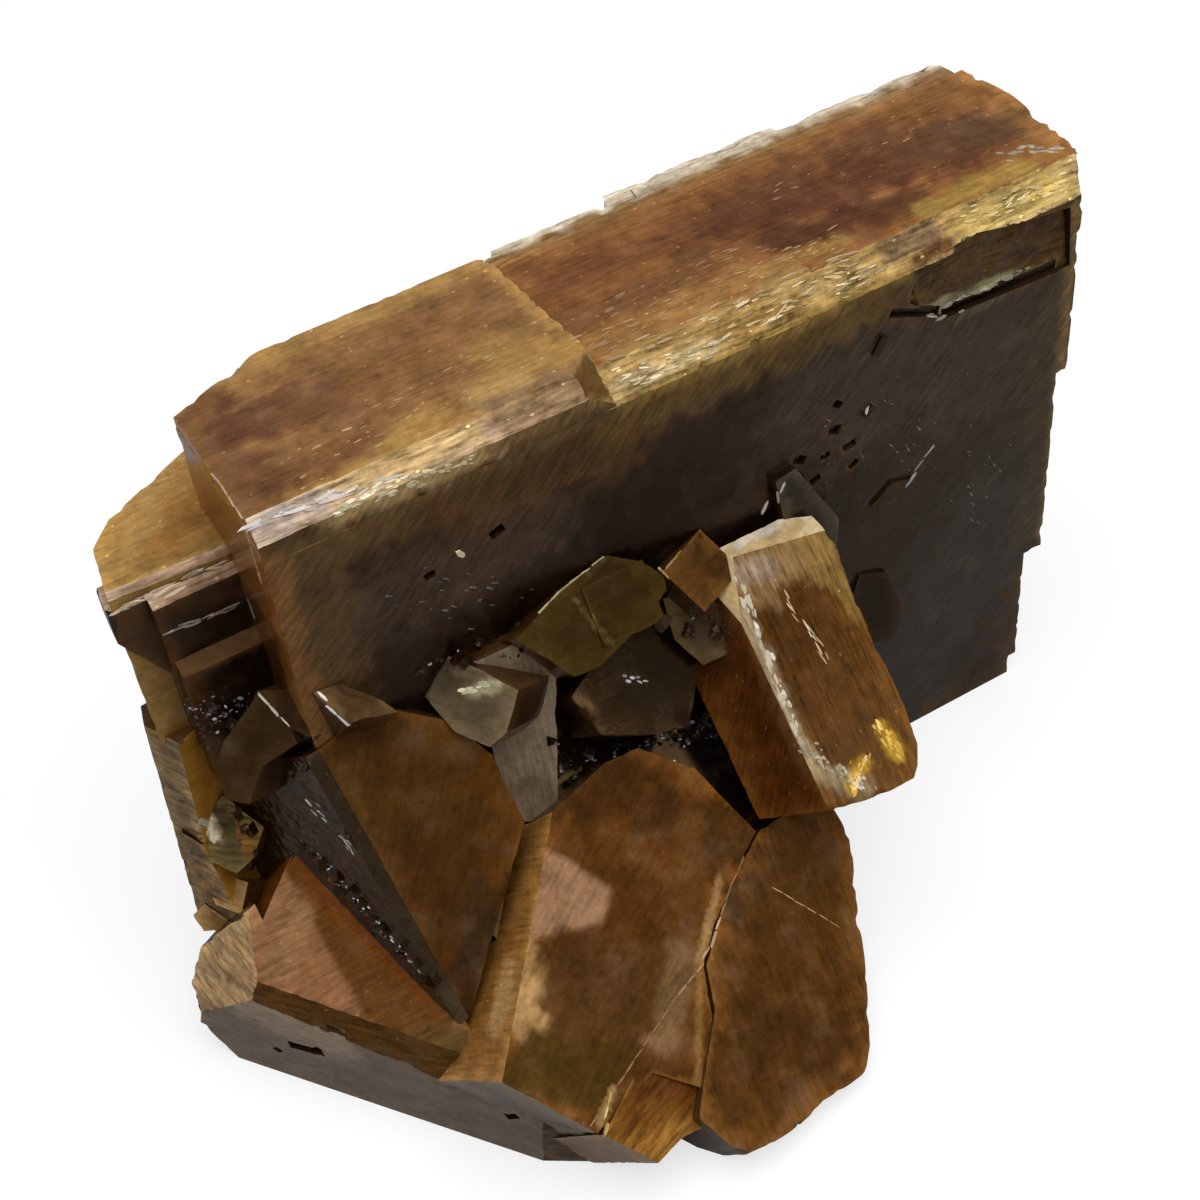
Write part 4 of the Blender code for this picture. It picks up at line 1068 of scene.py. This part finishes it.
def spread_tree(name, material):
    """Puts the shape on every seed, turned and sized as it says, with a small random lean."""
    tree = bpy.data.node_groups.new(name, "GeometryNodeTree")
    face = tree.interface
    for title, kind in (("Seeds", "NodeSocketGeometry"), ("Shape", "NodeSocketObject"),
                        ("Lean", "NodeSocketFloat")):
        face.new_socket(name=title, in_out="INPUT", socket_type=kind)
    face.new_socket(name="Pieces", in_out="OUTPUT", socket_type="NodeSocketGeometry")
    given = add(tree, "NodeGroupInput").outputs
    turn = add(tree, "GeometryNodeInputNamedAttribute", {"data_type": "FLOAT_VECTOR",
                                                         "Name": "turn"}).outputs[0]
    extent = add(tree, "GeometryNodeInputNamedAttribute", {"data_type": "FLOAT_VECTOR",
                                                           "Name": "extent"}).outputs[0]
    least = add(tree, "ShaderNodeVectorMath", {"operation": "SCALE", 0: (-1.0, -1.0, -1.0)},
                {"Scale": given["Lean"]}).outputs[0]
    most = add(tree, "ShaderNodeVectorMath", {"operation": "SCALE", 0: (1.0, 1.0, 1.0)},
               {"Scale": given["Lean"]}).outputs[0]
    chance = add(tree, "FunctionNodeRandomValue", {"data_type": "FLOAT_VECTOR", "Seed": LEAN_SEED},
                 {0: least, 1: most}).outputs[0]
    laid = add(tree, "FunctionNodeEulerToRotation", {}, {0: turn}).outputs[0]
    leant = add(tree, "FunctionNodeEulerToRotation", {}, {0: chance}).outputs[0]
    turned = add(tree, "FunctionNodeRotateRotation", {"rotation_space": "LOCAL"},
                 {0: laid, 1: leant}).outputs[0]
    shape = add(tree, "GeometryNodeObjectInfo", {},
                {"Object": given["Shape"]}).outputs["Geometry"]
    placed = add(tree, "GeometryNodeInstanceOnPoints", {},
                 {"Points": given["Seeds"], "Instance": shape, "Rotation": turned,
                  "Scale": extent}).outputs[0]
    real = add(tree, "GeometryNodeRealizeInstances", {}, {0: placed}).outputs[0]
    done = add(tree, "GeometryNodeSetMaterial", {"Material": material}, {"Geometry": real})
    add(tree, "NodeGroupOutput", {}, {0: done.outputs[0]})
    return tree


def grow_pieces(name, seeds, shape, material, lean):
    """All small pieces of one kind as one mesh that belongs to the cluster."""
    mesh = bpy.data.meshes.new(name + "_seeds")
    mesh.from_pydata([(seed[0] + FOOT) * MM for seed in seeds], [], [])
    for title, kind, place, count in (("turn", "FLOAT_VECTOR", 1, 3),
                                      ("extent", "FLOAT_VECTOR", 2, 3),
                                      ("tone", "FLOAT_COLOR", 3, 4)):
        layer = mesh.attributes.new(title, kind, "POINT")
        values = np.array([list(seed[place])[:count] for seed in seeds], float).ravel()
        layer.data.foreach_set("vector" if count == 3 else "color", values)
    holder = link(bpy.data.objects.new(name + "_seeds", mesh))
    modifier = holder.modifiers.new(name, "NODES")
    modifier.node_group = spread_tree(name, material)
    wanted = {"Shape": shape, "Lean": lean}
    for item in modifier.node_group.interface.items_tree:
        if item.name in wanted:
            modifier[item.identifier] = wanted[item.name]
    graph = bpy.context.evaluated_depsgraph_get()
    grown = bpy.data.meshes.new_from_object(holder.evaluated_get(graph),
                                            preserve_all_data_layers=True, depsgraph=graph)
    holder.modifiers.clear()
    bpy.data.objects.remove(holder)
    bpy.data.objects.remove(shape)
    grown.name = name
    if not grown.materials:
        grown.materials.append(material)
    pieces = link(bpy.data.objects.new(name, grown))
    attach(pieces, "root")


def seed_on(surface, spot, run, twist, lean, extent, tone):
    """One seed where the surface is nearest, turned so that its piece lies along run."""
    hit, normal = surface.find_nearest(spot)[:2]
    along = run - normal * run.dot(normal)
    if along.length < 0.1:
        along = normal.orthogonal()
    along.normalize()
    turned = Matrix((along, normal.cross(along), normal)).transposed()
    turned = turned @ Matrix.Rotation(twist, 3, "Z") @ Matrix.Rotation(lean, 3, "X")
    return hit, turned.to_euler(), extent, tone


def tinted(code, factor):
    return (*(min(0.95, c * factor) for c in linear(code)[:3]), 1.0)


def fine_druse(surface):
    """Small tablets standing in the seams between the large crystals."""
    chance = np.random.RandomState(DRUSE_SEED)
    seeds = []
    for start, end, count, stray, sizes, code in DRUSE:
        start, end = Vector(start), Vector(end)
        for _ in range(count):
            spot = start.lerp(end, chance.rand()) + Vector(chance.normal(0, 0.6 * stray, 3))
            size = chance.uniform(*sizes) * MM
            extent = (size, size * chance.uniform(0.5, 0.9), size * chance.uniform(0.25, 0.5))
            seeds.append(seed_on(surface, spot, end - start, chance.uniform(0, 2 * math.pi),
                                 chance.normal(0, 0.7), extent,
                                 tinted(code, chance.uniform(0.5, 2.4))))
    tablet = small_shape("druse_tablet", ((0.5, 0), (0.28, 0.5), (-0.28, 0.5), (-0.5, 0),
                                          (-0.28, -0.5), (0.28, -0.5)),
                         ((-0.5, 1.0), (0.3, 1.0), (0.5, 0.8)))
    material = glint_material("fine_barite_druse", 0.06, 0.3)
    grow_pieces("fine_druse", seeds, tablet, material, 0.3)


def cleavage_scales(surface):
    """Thin scales, painted glints, and broken edges with painted highlights, that lie on the large
    faces.
    """
    chance = np.random.RandomState(SCALE_SEED)
    seeds = []
    for start, end, count, stray, lengths, share, code in PALE_SCALES_AND_GLINTS:
        start, end = Vector(start), Vector(end)
        for _ in range(count):
            spot = start.lerp(end, chance.rand()) + Vector(chance.normal(0, 0.5 * stray, 3))
            size = chance.uniform(*lengths)
            extent = (size * MM, size * share * chance.uniform(0.6, 1.4) * MM,
                      SCALE_THICK * MM)
            seeds.append(seed_on(surface, spot, end - start, chance.normal(0, 0.12), 0.0, extent,
                                 tinted(code, chance.uniform(0.6, 1.15))))
    # Painted highlights along edges, made of the same pieces as the scales.
    for start, end, width, code in PAINTED_EDGE_HIGHLIGHTS:
        start, end = Vector(start), Vector(end)
        count = max(1, round((end - start).length / EDGE_PIECE))
        for i in range(count):
            spot = start.lerp(end, (i + 0.5) / count)
            size = (end - start).length / count * chance.uniform(1.0, 1.25)
            extent = (size * MM, width * chance.uniform(0.7, 1.3) * MM, width * MM)
            seeds.append(seed_on(surface, spot, end - start, 0.0, 0.0, extent,
                                 tinted(code, chance.uniform(0.8, 1.15))))
    scale = small_shape("cleavage_scale", ((0.5, 0.1), (0.2, 0.5), (-0.35, 0.42), (-0.5, -0.1),
                                           (-0.1, -0.5), (0.4, -0.38)),
                        ((-0.5, 1.0), (0.5, 0.85)))
    material = glint_material("scale_and_painted_glint_glass", 0.18, 0.15)
    grow_pieces("cleavage_scales", seeds, scale, material, 0.06)


def set_camera():
    """The photograph's camera, from its fitted place and turn."""
    turn = math.radians(CAMERA_TURN)
    tilt = math.radians(CAMERA_TILT)
    roll = math.radians(CAMERA_ROLL)
    ahead = Vector((math.sin(turn) * math.cos(tilt), math.cos(turn) * math.cos(tilt),
                    -math.sin(tilt)))
    level = Vector((math.cos(turn), -math.sin(turn), 0.0))
    upright = level.cross(ahead)
    right = level * math.cos(roll) + upright * math.sin(roll)
    up = upright * math.cos(roll) - level * math.sin(roll)
    place = (Vector(CAMERA_PLACE) + FOOT) * MM
    turned = Matrix((right, up, -ahead)).transposed().to_4x4()
    camera = bpy.data.cameras.new("photo_camera")
    camera.sensor_width = SENSOR
    camera.lens = FOCAL / FRAME_PIXELS * SENSOR
    camera.clip_start = 0.01
    item = link(bpy.data.objects.new("photo_camera", camera))
    item.matrix_world = Matrix.Translation(place) @ turned
    bpy.context.scene.camera = item


def soft_lamp(name, azimuth, elevation, distance, size, watts):
    """A square soft lamp that looks at the cluster from a compass angle and a height."""
    lamp = bpy.data.lights.new(name, "AREA")
    lamp.shape = "SQUARE"
    lamp.size = size
    lamp.energy = watts
    item = link(bpy.data.objects.new(name, lamp))
    way = direction(azimuth, elevation)
    turned = way.to_track_quat("Z", "Y").to_matrix().to_4x4()
    item.matrix_world = Matrix.Translation(way * distance + Vector((0, 0, 0.03))) @ turned


def paper_floor():
    """A sheet of matt white paper, seen white although little light comes back from it."""
    mesh = bpy.data.meshes.new("paper_floor")
    half = PAPER_HALF
    mesh.from_pydata([(-half, -half, 0), (half, -half, 0), (half, half, 0), (-half, half, 0)], [],
                     [(0, 1, 2, 3)])
    floor = link(bpy.data.objects.new("paper_floor", mesh))
    material, tree = new_material("white_paper")
    fibre = add(tree, "ShaderNodeTexNoise", {"Scale": FIBRES_PER_METRE, "Detail": 3.0})
    bump = add(tree, "ShaderNodeBump", {"Strength": 0.08, "Distance": 0.0002},
               {"Height": fibre.outputs["Fac"]})
    seen = add(tree, "ShaderNodeLightPath").outputs["Is Camera Ray"]
    lift = add(tree, "ShaderNodeMath", {"operation": "MULTIPLY", 1: PAPER_LIFT},
               {0: seen}).outputs[0]
    surface = add(tree, "ShaderNodeBsdfPrincipled",
                  {"Base Color": linear("#9a9a9a"), "Roughness": 0.9, "Specular IOR Level": 0.1,
                   "Emission Color": linear("#ffffff")},
                  {"Normal": bump.outputs[0], "Emission Strength": lift})
    add(tree, "ShaderNodeOutputMaterial", {}, {"Surface": surface.outputs[0]})
    mesh.materials.append(material)


def studio():
    """Soft light on the paper, mostly from above and a little from the front."""
    world = bpy.data.worlds.new("soft_room")
    world.use_nodes = True
    background = world.node_tree.nodes["Background"].inputs
    background["Color"].default_value = linear("#f2f4f8")
    background["Strength"].default_value = ROOM_LIGHT
    bpy.context.scene.world = world
    soft_lamp("overhead_lamp", azimuth=270, elevation=78, distance=1.2, size=1.1, watts=15.0)
    soft_lamp("front_lamp", azimuth=291, elevation=33, distance=1.1, size=0.12, watts=0.5)
    bpy.context.scene.view_settings.view_transform = "Standard"


cluster_surface = dress_cluster()
fine_druse(cluster_surface)
cleavage_scales(cluster_surface)
set_camera()
paper_floor()
studio()
